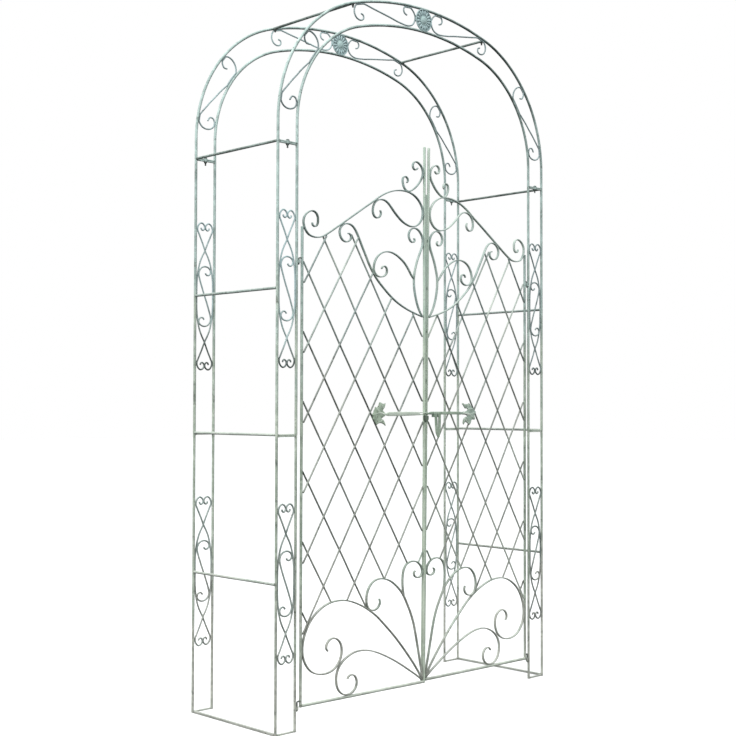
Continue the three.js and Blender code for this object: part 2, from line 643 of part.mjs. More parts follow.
const leaves = {};
for (const [sideName, side] of [['left', -1], ['right', 1]]) {
  const pivot = new THREE.Group();            // turns on the hinge axis
  pivot.position.set(side * HINGE_X, 0, 0);
  pivot.rotation.z = side * AJAR;
  arch.add(pivot);
  const leaf = new THREE.Group();             // origin on the hinge stile
  leaf.position.set(-side * (HINGE_X - HINGE_STILE_X), 0, 0);
  pivot.add(leaf);
  leaves[sideName] = leaf;
  const inward = -side;                       // +x for the left leaf
  const n = (label) => `${sideName}_gate_${label}`;

  add(leaf, n('hinge_stile'), upright(0, 0, RAIL_Z - STILE_R, HINGE_STILE_TOP, STILE_R), 'stile');

  // meeting stile: the left one carries the latch stud and the rest under the latch, and the right
  // one the closing strip, which is left out behind the latch
  const meet = [solid(upright(inward * LEAF_W, 0, RAIL_Z - STILE_R, MEET_STILE_TOP, STILE_R))];
  if (side < 0) {
    meet.push(solid(block(LEAF_W - 6.5, LEAF_W + 6.5, -11.2, -3, LATCH_Z - 4.4, LATCH_Z + 4.4)));
    meet.push(solid(block(LEAF_W - 6, LEAF_W + 6, -17.2, -3, LATCH_Z - 1.4, LATCH_Z + 1.4)));
    meet.push(solid(alongY(LEAF_W, LATCH_Z, -19.4, -16.9, 4.6, 12)));
    meet.push(solid(plate([
      [LEAF_W - 3, LATCH_Z - 30], [LEAF_W + 3, LATCH_Z - 30], [LEAF_W + 8, LATCH_Z - 20],
      [LEAF_W + 8, LATCH_Z - 7.6], [LEAF_W - 8, LATCH_Z - 7.6], [LEAF_W - 8, LATCH_Z - 20],
    ], -16.5, -3)));
  } else {
    for (const [z0, z1] of [[RAIL_Z - STILE_R, LATCH_Z - 38], [LATCH_Z + 12, FILLER_TOP]]) {
      meet.push(solid(block(-LEAF_W - 16, -LEAF_W - 3.5, -1.5, 1.5, z0, z1)));
    }
  }
  add(leaf, n('meeting_stile'), twisted(geometryOf(join(meet)), side, { u: LEAF_W }), 'stile');

  const railA = inward * (STILE_R + GAP);
  const railB = inward * (LEAF_W - STILE_R - GAP);
  add(leaf, n('bottom_rail'), twisted(
    alongX(Math.min(railA, railB), Math.max(railA, railB), 0, RAIL_Z, STILE_R), side, { z: RAIL_Z },
  ), 'stile');

  add(leaf, n('top_scroll'),
    geometryOf(join([leafStrip(TOP_BAR, side), leafStrip(FINIAL, side, 1.1)])), 'scroll');
  add(leaf, n('heart_scroll'), geometryOf(join([
    leafStrip(SECOND_BAR, side), leafStrip(HEART, side, 1.1), leafStrip(LENS, side, 1.1),
  ])), 'scroll');
  add(leaf, n('fan_scroll'), geometryOf(join([
    ...FANS.map((f) => leafStrip(f, side)), rod(SHORT_ROD, side, -ROD_LAYER),
  ])), 'scroll');
  add(leaf, n('lattice'), geometryOf(join([
    ...RODS_UP.map((r) => rod(r, side, -ROD_LAYER)),
    ...RODS_DOWN.map((r) => rod(r, side, ROD_LAYER)),
  ])), 'lattice');

  // hinge hooks: an arm from the stile and a pin down through the eye on the leg
  const hook = (zArm, zPin) => {
    const axis = -inward * (HINGE_X - HINGE_STILE_X);
    const x0 = -inward * (STILE_R + GAP);
    return geometryOf(join([
      solid(alongX(Math.min(x0, axis), Math.max(x0, axis), 0, zArm, 2.5)),
      solid(upright(axis, 0, zPin, zArm + 2.5, 2.5, 8)),
    ]));
  };
  add(leaf, `${sideName}_upper_hinge_hook`, hook(1545, 1522), 'hardware');
  add(leaf, `${sideName}_lower_hinge_hook`, hook(92, 60), 'hardware');
}

// ---------------------------------------------------------------- latch
// The bar lies in front of the left leaf, tapers towards its nose and has a slot for the stud. The
// stud has flat sides, so the bar can only slide.
const latch = new THREE.Group();
latch.position.set(LEAF_W, 0, LATCH_Z);         // on the stud
leaves.left.add(latch);
const barOutline = [
  [-196, -8.2], [-140, -8.2], [-73, -7], [-45, -6], [-24, -5], [4, -4.4], [10, -3.2], [15.5, 0],
  [10, 3.2], [4, 4.4], [-24, 5], [-45, 6], [-73, 6.8], [-196, 6.8],
];
add(latch, 'latch_bar', geometryOf(
  join([
    solid(plate(barOutline, -16.5, -11.5)),
    solid(plate(LEFT_LEAF, -17, -12)),
  ]).subtract(solid(block(-6.5 - LATCH_TRAVEL, 6.5, -30, 0, -1.8, 1.8))),
), 'casting');

const strapOutline = [
  [21, 3], [26, -66], [36, -84], [42, -88], [47, -84], [52.5, -60], [53.5, 3], [42, 3], [41.5, -50],
  [40, -62], [37.5, -50], [33, 3],
].map(([x, z]) => [x, LATCH_Z + z]);
const keeper = new THREE.Group();               // measured from the middle of the gate
keeper.position.set(-HINGE_STILE_X, 0, 0);
leaves.right.add(keeper);
add(keeper, 'latch_keeper', geometryOf(join([
  solid(block(7, 190, -10, -5.4, LATCH_Z - 4, LATCH_Z + 7)),
  // a lug reaches back to the stile
  solid(block(7.5, 14.5, -9, 5, LATCH_Z - 3.5, LATCH_Z + 3.5)),
  solid(plate(RIGHT_LEAF.map(([x, z]) => [x, LATCH_Z + z]), -11, -6)),
  solid(plate(strapOutline, -22.73, -19.5)),
  // two feet carry the strap in front of the bar and leave room for the nose of the latch bar
  solid(block(21.8, 33, -21.6, -5.4, LATCH_Z - 13, LATCH_Z - 8)),
  solid(block(21.8, 33, -10, -5.4, LATCH_Z - 13, LATCH_Z - 3)),
  solid(block(42.5, 53, -21.6, -5.4, LATCH_Z - 13, LATCH_Z - 1)),
])), 'casting');

export default arch;
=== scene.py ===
import math

import bpy
import numpy as np
from mathutils import Matrix, Vector
from mathutils.geometry import delaunay_2d_cdt


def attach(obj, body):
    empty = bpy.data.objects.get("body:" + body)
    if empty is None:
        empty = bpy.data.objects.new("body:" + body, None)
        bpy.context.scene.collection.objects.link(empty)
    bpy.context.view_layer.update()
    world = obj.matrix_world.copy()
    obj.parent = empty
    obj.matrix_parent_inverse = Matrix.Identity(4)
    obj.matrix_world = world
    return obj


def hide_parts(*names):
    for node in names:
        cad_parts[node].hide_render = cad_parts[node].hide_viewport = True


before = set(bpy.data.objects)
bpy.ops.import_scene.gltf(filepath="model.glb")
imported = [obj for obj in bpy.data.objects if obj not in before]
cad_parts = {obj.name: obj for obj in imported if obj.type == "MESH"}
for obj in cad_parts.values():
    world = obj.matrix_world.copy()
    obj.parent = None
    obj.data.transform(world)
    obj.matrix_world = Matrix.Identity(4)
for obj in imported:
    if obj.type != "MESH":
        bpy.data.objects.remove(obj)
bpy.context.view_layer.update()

# Every length below is in millimetres in the arch's own axes: x across the passage, y from the
# front frame plane towards the rear one, z up from the middle of the base bars. Each piece is
# moved to the shared frame, in metres, when its mesh is made.

# ---------------------------------------------------------------- driving dimensions
DEPTH = 446.0
OUTER_X, INNER_X = 682.5, 600.5
MID_X = (OUTER_X + INNER_X) / 2
BAND = OUTER_X - INNER_X
RAIL_R, RAIL_R_LOW, RUNG_R = 5.0, 4.6, 4.6
Z_C, Z_A, Z_D, Z_B = 960.0, 1920.0, 480.0, 1440.0
HAUNCH_Z, HAUNCH_CX, HAUNCH_R = 1990.0, 204.5, 478.0
CROWN_CZ, CROWN_R = 1285.0, 1212.0
WIRE_R, WIRE_SWELL = 2.5, 0.35
STRIP_T, STRIP_D = 4.0, 9.0
ROD_R, ROD_LAYER = 2.2, 1.8
STILE_R = 5.0
HINGE_STILE_X, LEAF_W, HINGE_X = 577.0, 566.0, 591.0
AJAR = math.radians(1.8)
RAIL_Z = 76.0
HINGE_STILE_TOP, MEET_STILE_TOP, FILLER_TOP = 1650.0, 1990.0, 1819.0
TWIST = 20.8
LATCH_Z = 1030.0
MEDALLION_R, MEDALLION_Z = 41.5, 2456.0
Y0, Z0 = -206.44, 5.0
BAR_H = 4.7
ARCH_RUNG_X = 337.0


def dice(word):
    """A random generator that is always the same for the same word."""
    return np.random.default_rng(sum((i + 1) * ord(c) for i, c in enumerate(word)) % 100003)


# ---------------------------------------------------------------- places
def arch_place(y=0.0):
    return lambda p: (p + np.array([0.0, Y0 + y, Z0])) * 0.001


def leaf_place(side, flat=False):
    """The leaf's frame has its origin on the hinge stile. The leaf rests a little ajar, and the
    right one is twisted: its free edge hangs back towards the foot."""
    a = side * AJAR
    c, s = math.cos(a), math.sin(a)

    def place(p):
        y = p[:, 1]
        if side > 0 and not flat:
            across = np.clip(-side * p[:, 0] / LEAF_W, 0.0, 1.0)
            y = y + TWIST * across * (MEET_STILE_TOP - p[:, 2]) / (MEET_STILE_TOP - RAIL_Z)
        x = p[:, 0] - side * (HINGE_X - HINGE_STILE_X)
        return np.stack([
            side * HINGE_X + x * c - y * s,
            x * s + y * c + Y0,
            p[:, 2] + Z0,
        ], 1) * 0.001
    return place


# ---------------------------------------------------------------- curves
def smooth(points, step=1.5):
    """A centripetal Catmull-Rom curve through the points."""
    P = [np.array(p, float) for p in points]
    P = [2 * P[0] - P[1]] + P + [2 * P[-1] - P[-2]]
    out = []
    for i in range(1, len(P) - 2):
        p0, p1, p2, p3 = P[i - 1:i + 3]
        t0 = 0.0
        t1 = t0 + math.sqrt(max(np.linalg.norm(p1 - p0), 1e-6))
        t2 = t1 + math.sqrt(max(np.linalg.norm(p2 - p1), 1e-6))
        t3 = t2 + math.sqrt(max(np.linalg.norm(p3 - p2), 1e-6))
        k = max(2, math.ceil(np.linalg.norm(p2 - p1) / step))
        t = (t1 + (t2 - t1) * np.arange(k) / k)[:, None]
        a1 = ((t1 - t) * p0 + (t - t0) * p1) / (t1 - t0)
        a2 = ((t2 - t) * p1 + (t - t1) * p2) / (t2 - t1)
        a3 = ((t3 - t) * p2 + (t - t2) * p3) / (t3 - t2)
        b1 = ((t2 - t) * a1 + (t - t0) * a2) / (t2 - t0)
        b2 = ((t3 - t) * a2 + (t - t1) * a3) / (t3 - t1)
        out.append(((t2 - t) * b1 + (t - t1) * b2) / (t2 - t1))
    out.append(P[-2][None])
    return np.vstack(out)


def lengths(path):
    return np.concatenate([[0.0], np.cumsum(np.linalg.norm(np.diff(path, axis=0), axis=1))])


def even(path, step):
    """The path again, with points an even step apart."""
    s = lengths(path)
    n = max(2, int(round(s[-1] / step)) + 1)
    t = np.linspace(0, s[-1], n)
    return np.stack([np.interp(t, s, path[:, k]) for k in range(path.shape[1])], 1)


def thin(path, tolerance=0.035, longest=14.0):
    """Fewer points where the path is nearly straight."""
    keep = [0]
    s = lengths(path)
    i = 0
    n = len(path)
    while i < n - 1:
        j = i + 1
        while j + 1 < n and s[j + 1] - s[i] <= longest:
            a, b = path[i], path[j + 1]
            ab = b - a
            L = np.linalg.norm(ab)
            mid = path[i + 1:j + 1] - a
            off = mid - np.outer(mid @ ab, ab) / max(L * L, 1e-9)
            if np.sqrt((off ** 2).sum(1)).max() > tolerance:
                break
            j += 1
        keep.append(j)
        i = j
    return path[keep]


def in_plane(xz, y=0.0):
    xz = np.asarray(xz, float)
    return np.stack([xz[:, 0], np.full(len(xz), float(y)) if np.isscalar(y) else y, xz[:, 1]], 1)


def drift(s, rng, longest=160.0, terms=4):
    """Slow unevenness along a length, from about -1 to 1."""
    out = np.zeros_like(s, dtype=float)
    for k in range(terms):
        lam = longest * 0.47 ** k * rng.uniform(0.8, 1.25)
        out = out + 0.62 ** k * np.sin(2 * math.pi * s / lam + rng.uniform(0, 2 * math.pi))
    return out / 1.9


# ---------------------------------------------------------------- sections
def round_section(radius, sides=16):
    a = 2 * math.pi * np.arange(sides) / sides
    return radius * np.stack([np.cos(a), np.sin(a)], 1)


def bar_section(depth, width, corner=1.0, k=3):
    pts = []
    for cx, cy, a0 in ((1, 1, 0), (-1, 1, 90), (-1, -1, 180), (1, -1, 270)):
        for j in range(k + 1):
            t = math.radians(a0 + 90 * j / k)
            pts.append((cx * (depth / 2 - corner) + corner * math.cos(t),
                        cy * (width / 2 - corner) + corner * math.sin(t)))
    return np.array(pts)


# ---------------------------------------------------------------- meshes
class Shape:
    """Collects closed shells in one place's millimetres and makes one mesh of them."""

    def __init__(self, name, place):
        self.name, self.place = name, place
        self.v, self.f, self.tone, self.weld, self.green = [], [], [], [], []
        self.n = 0
        self.leafy = 0.0
        self.rng = dice(name)

    def put(self, v, faces, tone=0.0, weld=0.0):
        v = np.asarray(v, float)
        self.green.append(np.full(len(v), self.leafy))
        self.v.append(v)
        self.f.extend([[i + self.n for i in f] for f in faces])
        self.tone.append(np.broadcast_to(np.asarray(tone, float), (len(v),)))
        self.weld.append(np.broadcast_to(np.asarray(weld, float), (len(v),)))
        self.n += len(v)

    def sweep(self, path, section, up=(0, 1, 0), ends=("cut", "cut"), scale=None, tone=0.0,
              uneven=0.02, blunt=0.55):
        """A section drawn along a path. Its first axis starts at `up` and turns with the path."""
        P = np.asarray(path, float)
        M = len(section)
        d = np.diff(P, axis=0)
        d /= np.linalg.norm(d, axis=1)[:, None]
        T = np.vstack([d[:1], d[:-1] + d[1:], d[-1:]])
        T /= np.linalg.norm(T, axis=1)[:, None]
        A = np.zeros_like(P)
        a = np.array(up, float)
        for i in range(len(P)):
            a = a - (a @ T[i]) * T[i]
            a /= np.linalg.norm(a)
            A[i] = a
        B = np.cross(T, A)
        s = lengths(P)
        k = np.ones(len(P)) if scale is None else np.asarray(scale, float)
        size = np.abs(section).max()
        # rings: (point, tangent step, scale)
        rings_p, rings_k, rings_i = list(P), list(k), list(range(len(P)))
        for end, kind in enumerate(ends):
            i = 0 if end == 0 else len(P) - 1
            sign = 1.0 if end == 0 else -1.0
            extra = []
            if kind == "cut":
                c = min(blunt, 0.4 * np.linalg.norm(P[1] - P[0] if end == 0 else P[-1] - P[-2]))
                extra = [(P[i], k[i] * (1 - c / size)), (P[i] + sign * T[i] * c, k[i])]
            elif kind == "round":
                extra = [(P[i] - sign * T[i] * size * k[i] * math.sin(math.radians(q)) * 0.8,
                          k[i] * math.cos(math.radians(q))) for q in (82, 60, 38, 18)]
                extra.append((P[i], k[i]))
            if end == 0:
                rings_p = [e[0] for e in extra] + rings_p[1:]
                rings_k = [e[1] for e in extra] + rings_k[1:]
                rings_i = [0] * len(extra) + rings_i[1:]
            else:
                extra = extra[::-1]
                rings_p = rings_p[:-1] + [e[0] for e in extra]
                rings_k = rings_k[:-1] + [e[1] for e in extra]
                rings_i = rings_i[:-1] + [i] * len(extra)
        R = np.array(rings_p)
        K = np.array(rings_k)
        I = np.array(rings_i)
        sr = s[I]
        ang = np.arctan2(section[:, 1], section[:, 0])
        lump = 1 + uneven * (0.6 * drift(sr, self.rng, 90)[:, None]
                             + 0.5 * np.sin(2 * ang[None] + 3 * drift(sr, self.rng, 120)[:, None])
                             + 0.35 * np.sin(3 * ang[None] + 4 * drift(sr, self.rng, 60)[:, None]))
        w = K[:, None] * lump
        V = (R[:, None] + A[I][:, None] * (section[:, 0] * w)[..., None]
             + B[I][:, None] * (section[:, 1] * w)[..., None])
        N = len(R)
        i = np.arange(N - 1)[:, None] * M
        j = np.arange(M)[None]
        jn = (j + 1) % M
        quads = np.stack([i + j, i + jn, i + M + jn, i + M + j], -1).reshape(-1, 4).tolist()
        quads.append(list(range(M))[::-1])
        quads.append([(N - 1) * M + q for q in range(M)])
        t = tone(R) if callable(tone) else tone
        t = t + 0.16 * drift(sr, self.rng, 240) + self.rng.uniform(-0.08, 0.08)
        self.put(V.reshape(-1, 3), quads, np.repeat(t, M), 0.0)

    def loop(self, path, section, up=(0, 1, 0), tone=0.0):
        """A section drawn along a closed path that lies in one plane, with `up` square to it."""
        P = np.asarray(path, float)
        N, M = len(P), len(section)
        T = np.roll(P, -1, 0) - np.roll(P, 1, 0)
        T /= np.linalg.norm(T, axis=1)[:, None]
        A = np.broadcast_to(np.array(up, float), P.shape)
        B = np.cross(T, A)
        V = P[:, None] + A[:, None] * section[:, 0][None, :, None] + B[:, None] * section[:, 1][None, :, None]
        faces = []
        for i in range(N):
            m = (i + 1) % N
            for j in range(M):
                q = (j + 1) % M
                faces.append([i * M + j, i * M + q, m * M + q, m * M + j])
        self.put(V.reshape(-1, 3), faces, tone)

    def lathe(self, profile, centre, axis, sides=28, tone=0.0, weld=0.0, closed=False, spin=0.0, wave=None):
        """profile is (radius, height) pairs along the axis. It starts and ends on the axis, or is a closed ring."""
        ax = np.array(axis, float)
        ax /= np.linalg.norm(ax)
        e1 = np.array([1.0, 0, 0]) if abs(ax[0]) < 0.8 else np.array([0, 1.0, 0])
        e1 = e1 - (e1 @ ax) * ax
        e1 /= np.linalg.norm(e1)
        e2 = np.cross(ax, e1)
        ang = spin + 2 * math.pi * np.arange(sides) / sides
        around = np.cos(ang)[:, None] * e1 + np.sin(ang)[:, None] * e2
        reach = np.ones(sides) if wave is None else wave(ang)
        C = np.array(centre, float)
        V, rows = [], []
        for r, h in profile:
            if r < 1e-6:
                rows.append([len(V)])
                V.append(C + ax * h)
            else:
                rows.append(list(range(len(V), len(V) + sides)))
                V.extend(C + ax * h + around * (r * reach)[:, None])
        faces = []
        pairs = list(zip(rows, rows[1:])) + ([(rows[-1], rows[0])] if closed else [])
        for a, b in pairs:
            for j in range(sides):
                q = (j + 1) % sides
                if len(a) == 1 and len(b) == 1:
                    continue
                if len(a) == 1:
                    faces.append([a[0], b[j], b[q]][::-1])
                elif len(b) == 1:
                    faces.append([a[j], a[q], b[0]])
                else:
                    faces.append([a[j], a[q], b[q], b[j]])
        self.put(np.array(V), faces, tone, weld)

    def blob(self, centre, radii, tone=0.0, weld=1.0, turn=0.0):
        """A small lump of weld metal. `turn` is in the upright plane, in radians."""
        rng = self.rng
        m, n = 9, 6
        c, s = math.cos(turn), math.sin(turn)
        ph = rng.uniform(0, 6.28, 4)
        V, rows = [], []
        for i in range(n + 1):
            th = math.pi * i / n
            row = []
            for j in range(1 if i in (0, n) else m):
                a = 2 * math.pi * j / m
                k = 1 + 0.11 * math.sin(2 * a + ph[0] + 2 * th) + 0.09 * math.sin(3 * th + ph[1] + a)
                x = k * radii[0] * math.sin(th) * math.cos(a)
                y = k * radii[1] * math.sin(th) * math.sin(a)
                z = k * radii[2] * math.cos(th)
                row.append(len(V))
                V.append((centre[0] + c * x + s * z, centre[1] + y, centre[2] - s * x + c * z))
            rows.append(row)
        faces = []
        for a, b in zip(rows, rows[1:]):
            for j in range(m):
                q = (j + 1) % m
                if len(a) == 1:
                    faces.append([a[0], b[j], b[q]])
                elif len(b) == 1:
                    faces.append([a[q], a[j], b[0]])
                else:
                    faces.append([a[q], a[j], b[j], b[q]])
        self.put(np.array(V), faces, tone, weld)

    def make(self, body, slot, material, *nodes):
        mesh = bpy.data.meshes.new(self.name)
        V = self.place(np.vstack(self.v))
        mesh.from_pydata(V.tolist(), [], self.f)
        mesh.update()
        mesh.polygons.foreach_set("use_smooth", np.ones(len(mesh.polygons), bool))
        mesh.set_sharp_from_angle(angle=math.radians(40))
        for key, data in (("tone", self.tone), ("weld", self.weld), ("green", self.green)):
            layer = mesh.attributes.new(key, "FLOAT", "POINT")
            layer.data.foreach_set("value", np.concatenate(data).astype(np.float32))
        mesh.materials.append(material)
        ob = bpy.data.objects.new(self.name, mesh)
        bpy.context.scene.collection.objects.link(ob)
        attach(ob, body)
        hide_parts(*nodes)
        return ob


# ---------------------------------------------------------------- paint
def linear(r, g, b):
    def one(c):
        c /= 255.0
        return c / 12.92 if c <= 0.04045 else ((c + 0.055) / 1.055) ** 2.4
    return (one(r), one(g), one(b), 1.0)


class Nodes:
    """Short names for building one material's node tree."""

    def __init__(self, name):
        self.material = bpy.data.materials.new(name)
        self.material.use_nodes = True
        self.tree = self.material.node_tree
        self.tree.nodes.clear()

    def new(self, kind, **values):
        n = self.tree.nodes.new(kind)
        for k, v in values.items():
            setattr(n, k, v)
        return n

    def feed(self, socket, value):
        if isinstance(value, bpy.types.NodeSocket):
            self.tree.links.new(value, socket)
        else:
            socket.default_value = value

    def math(self, op, a, b=None, c=None, clamp=False):
        n = self.new("ShaderNodeMath", operation=op, use_clamp=clamp)
        for k, v in enumerate((a, b, c)):
            if v is not None:
                self.feed(n.inputs[k], v)
        return n.outputs[0]

    def ramp(self, value, low, high, out_low=0.0, out_high=1.0):
        n = self.new("ShaderNodeMapRange", interpolation_type="SMOOTHSTEP", clamp=True)
        for key, v in (("Value", value), ("From Min", low), ("From Max", high),
                       ("To Min", out_low), ("To Max", out_high)):
            self.feed(n.inputs[key], v)
        return n.outputs["Result"]

    def mix(self, factor, a, b, mode="MIX"):
        n = self.new("ShaderNodeMix", data_type="RGBA", blend_type=mode, clamp_factor=True)
        self.feed(n.inputs["Factor"], factor)
        self.feed(n.inputs[6], a)
        self.feed(n.inputs[7], b)
        return n.outputs[2]

    def noise(self, vector, scale, detail=4.0, rough=0.55, lacunarity=2.1, distortion=0.0):
        n = self.new("ShaderNodeTexNoise")
        self.feed(n.inputs["Vector"], vector)
        for key, v in (("Scale", scale), ("Detail", detail), ("Roughness", rough),
                       ("Lacunarity", lacunarity), ("Distortion", distortion)):
            n.inputs[key].default_value = v
        return n.outputs["Fac"]


HIGH = linear(146, 167, 166)
LOW = linear(151, 152, 145)


def paint(name, pale, mid, deep, chip, seed, worn=0.5, underside_shade=0.35, top=0.2, high=0.7, low=0.8, sky=HIGH, gloss=0.60,
          pale_and_highlight=linear(216, 226, 214), speck=1.0):
    """Old garden paint: a chalky green-grey coat rubbed thin, with painted shade on faces that
    turn down, a painted highlight on faces that turn up, and fine chips down to rusty metal."""
    g = Nodes(name)
    coord = g.new("ShaderNodeTexCoord").outputs["Object"]
    move = g.new("ShaderNodeVectorMath", operation="ADD")
    g.feed(move.inputs[0], coord)
    move.inputs[1].default_value = (seed * 1.37, seed * 2.11, seed * 0.73)
    at = move.outputs[0]
    squeeze = g.new("ShaderNodeVectorMath", operation="MULTIPLY")
    g.feed(squeeze.inputs[0], at)
    squeeze.inputs[1].default_value = (1.0, 1.0, 0.22)
    streak_at = squeeze.outputs[0]
    tone = g.new("ShaderNodeAttribute", attribute_name="tone").outputs["Fac"]
    weld = g.new("ShaderNodeAttribute", attribute_name="weld").outputs["Fac"]
    green = g.new("ShaderNodeAttribute", attribute_name="green").outputs["Fac"]
    normal = g.new("ShaderNodeSeparateXYZ")
    g.feed(normal.inputs[0], g.new("ShaderNodeNewGeometry").outputs["Normal"])
    nz = normal.outputs["Z"]
    height = g.new("ShaderNodeSeparateXYZ")
    g.feed(height.inputs[0], coord)

    broad = g.noise(at, 5.0, 3.0, 0.5)
    patch = g.noise(at, 34.0, 5.0, 0.62, distortion=0.6)
    fine = g.noise(at, 190.0, 5.0, 0.66)
    grit = g.noise(at, 900.0, 3.0, 0.6)
    streak = g.noise(streak_at, 230.0, 4.0, 0.6)
    worn_at = g.noise(at, 21.0, 4.0, 0.6, distortion=0.9)

    # coat: pale where it is thick, mid where it is rubbed
    level = g.math("ADD", g.math("MULTIPLY", patch, 1.0 - 0.32 * speck), g.math("MULTIPLY", fine, 0.32 * speck))
    level = g.math("ADD", level, g.math("MULTIPLY", tone, 0.16))
    colour = g.mix(g.ramp(level, 0.36, 0.66), mid, pale)
    # grey where it stands in wet grass, sage in the middle, bluer up in the arch
    z = g.math("ADD", height.outputs["Z"], g.math("MULTIPLY", g.math("SUBTRACT", broad, 0.5), 1.3))
    colour = g.mix(g.ramp(z, 0.95, 1.65, 0.0, high), colour, sky, "COLOR")
    colour = g.mix(g.ramp(z, 0.62, 0.12, 0.0, low), colour, LOW, "COLOR")
    colour = g.mix(green, colour, linear(150, 178, 146), "COLOR")
    # worn patches with soft edges, and thin upright streaks
    bare = g.math("ADD", g.math("MULTIPLY", worn_at, 0.68), g.math("MULTIPLY", fine, 0.34))
    bare = g.math("SUBTRACT", bare, g.math("MULTIPLY", tone, 0.10))
    colour = g.mix(g.math("MULTIPLY", g.ramp(bare, 0.60 - 0.07 * worn, 0.68), 0.86), colour, deep)
    colour = g.mix(g.math("MULTIPLY", g.ramp(streak, 0.56, 0.72), 0.42 * speck), colour, deep)
    # chips down to rusty metal
    chips = g.math("MULTIPLY", g.ramp(fine, 0.60 - 0.03 * worn, 0.64), g.ramp(patch, 0.42, 0.56, 0.0, speck))
    colour = g.mix(chips, colour, chip)
    # painted shade on faces that turn down and a painted highlight on faces that turn up, broken up by the patch noise
    facing_for_painted_light = g.math("ADD", nz, g.math("MULTIPLY", g.math("SUBTRACT", patch, 0.5), 0.5))
    colour = g.mix(g.math("MULTIPLY", g.ramp(facing_for_painted_light, 0.0, -0.8), underside_shade), colour, linear(52, 66, 60))
    colour = g.mix(g.math("MULTIPLY", g.ramp(facing_for_painted_light, 0.25, 0.95), top), colour, linear(214, 224, 214))
    # weld lumps, and the tone attribute: each member's own paint tone, which in places also carries painted shade and
    # painted highlight
    rough_weld = g.math("MULTIPLY", weld, g.ramp(fine, 0.38, 0.62, 0.25, 0.85))
    colour = g.mix(rough_weld, colour, linear(74, 86, 74))
    colour = g.mix(g.ramp(tone, 0.0, -1.0), colour, linear(40, 50, 45))
    colour = g.mix(g.ramp(tone, 0.15, 1.4), colour, pale_and_highlight)

    shader = g.new("ShaderNodeBsdfPrincipled")
    g.feed(shader.inputs["Base Color"], colour)
    g.feed(shader.inputs["Roughness"], g.ramp(level, 0.3, 0.7, gloss - 0.10, gloss + 0.20))
    g.feed(shader.inputs["Metallic"], g.math("MULTIPLY", chips, 0.35))
    shader.inputs["Specular IOR Level"].default_value = 0.42
    bump = g.new("ShaderNodeBump")
    bump.inputs["Strength"].default_value = 0.55
    bump.inputs["Distance"].default_value = 0.0009
    relief = g.math("ADD", g.math("MULTIPLY", fine, 0.9), g.math("MULTIPLY", grit, 0.22))
    relief = g.math("SUBTRACT", relief, g.math("MULTIPLY", chips, 0.5))
    relief = g.math("SUBTRACT", relief, g.math("MULTIPLY", streak, 0.3))
    g.feed(bump.inputs["Height"], relief)
    g.feed(shader.inputs["Normal"], bump.outputs["Normal"])
    out = g.new("ShaderNodeOutputMaterial")
    g.feed(out.inputs["Surface"], shader.outputs["BSDF"])
    return g.material


CHIP = linear(92, 76, 66)
LEG = paint("leg_paint", linear(198, 209, 195), linear(157, 171, 156), linear(106, 116, 106), CHIP, 1, 0.5, speck=0.6)
# the hoops get the strongest painted shade on their undersides
HOOP = paint("hoop_paint", linear(196, 210, 200), linear(152, 170, 160), linear(90, 105, 98), CHIP, 2, 0.7, underside_shade=0.85,
             high=0.6, speck=0.4)
RUNG = paint("rung_paint", linear(180, 188, 180), linear(138, 150, 140), linear(80, 88, 82), CHIP, 3, 0.8, high=0.5)
ORNAMENT = paint("ornament_paint", linear(172, 184, 178), linear(126, 140, 136), linear(76, 86, 84), CHIP, 4, 0.9,
                 high=0.85, low=0.9, sky=linear(141, 160, 163), pale_and_highlight=linear(184, 210, 211))
STILE = paint("stile_paint", linear(188, 201, 185), linear(144, 159, 144), linear(96, 106, 94), CHIP, 5, 0.5, low=0.6, speck=0.5)
SCROLL = paint("gate_scroll_paint", linear(172, 187, 174), linear(126, 142, 130), linear(72, 84, 76), CHIP, 6, 0.8, low=0.9)
LATTICE = paint("lattice_paint", linear(164, 170, 162), linear(116, 121, 114), linear(70, 72, 66),
                linear(104, 84, 74), 7, 1.0, high=0.8, low=0.9)
CASTING = paint("casting_paint", linear(182, 200, 180), linear(134, 154, 132), linear(70, 86, 70), CHIP, 8, 0.5, low=0.0)
HARDWARE = paint("hardware_paint", linear(140, 152, 140), linear(98, 110, 100), linear(58, 68, 60),
                 linear(84, 62, 48), 9, 1.2, low=0.4)

# ---------------------------------------------------------------- legs
BODY = "arch_frame"


def wobbly(p0, p1, rng, sway=0.45, step=13.0):
    """A straight member that isn't quite straight. Its ends stay where they are."""
    p0, p1 = np.array(p0, float), np.array(p1, float)
    L = np.linalg.norm(p1 - p0)
    n = max(3, int(round(L / step)) + 1)
    t = np.linspace(0, 1, n)
    P = p0 + (p1 - p0) * t[:, None]
    d = (p1 - p0) / L
    e1 = np.cross(d, [0, 0, 1.0]) if abs(d[2]) < 0.9 else np.array([1.0, 0, 0])
    e1 /= np.linalg.norm(e1)
    e2 = np.cross(d, e1)
    fade = np.sin(math.pi * t) ** 0.5
    s = t * L
    return P + fade[:, None] * sway * (np.outer(drift(s, rng, 700, 3), e1) + np.outer(drift(s, rng, 700, 3), e2))


def ring_profile(r_in, r_out, z0, z1, c=0.7):
    """A closed ring section, counter-clockwise when the radius points right and the axis up."""
    return [(r_in + c, z0), (r_out - c, z0), (r_out, z0 + c), (r_out, z1 - c), (r_out - c, z1),
            (r_in + c, z1), (r_in, z1 - c), (r_in, z0 + c)]


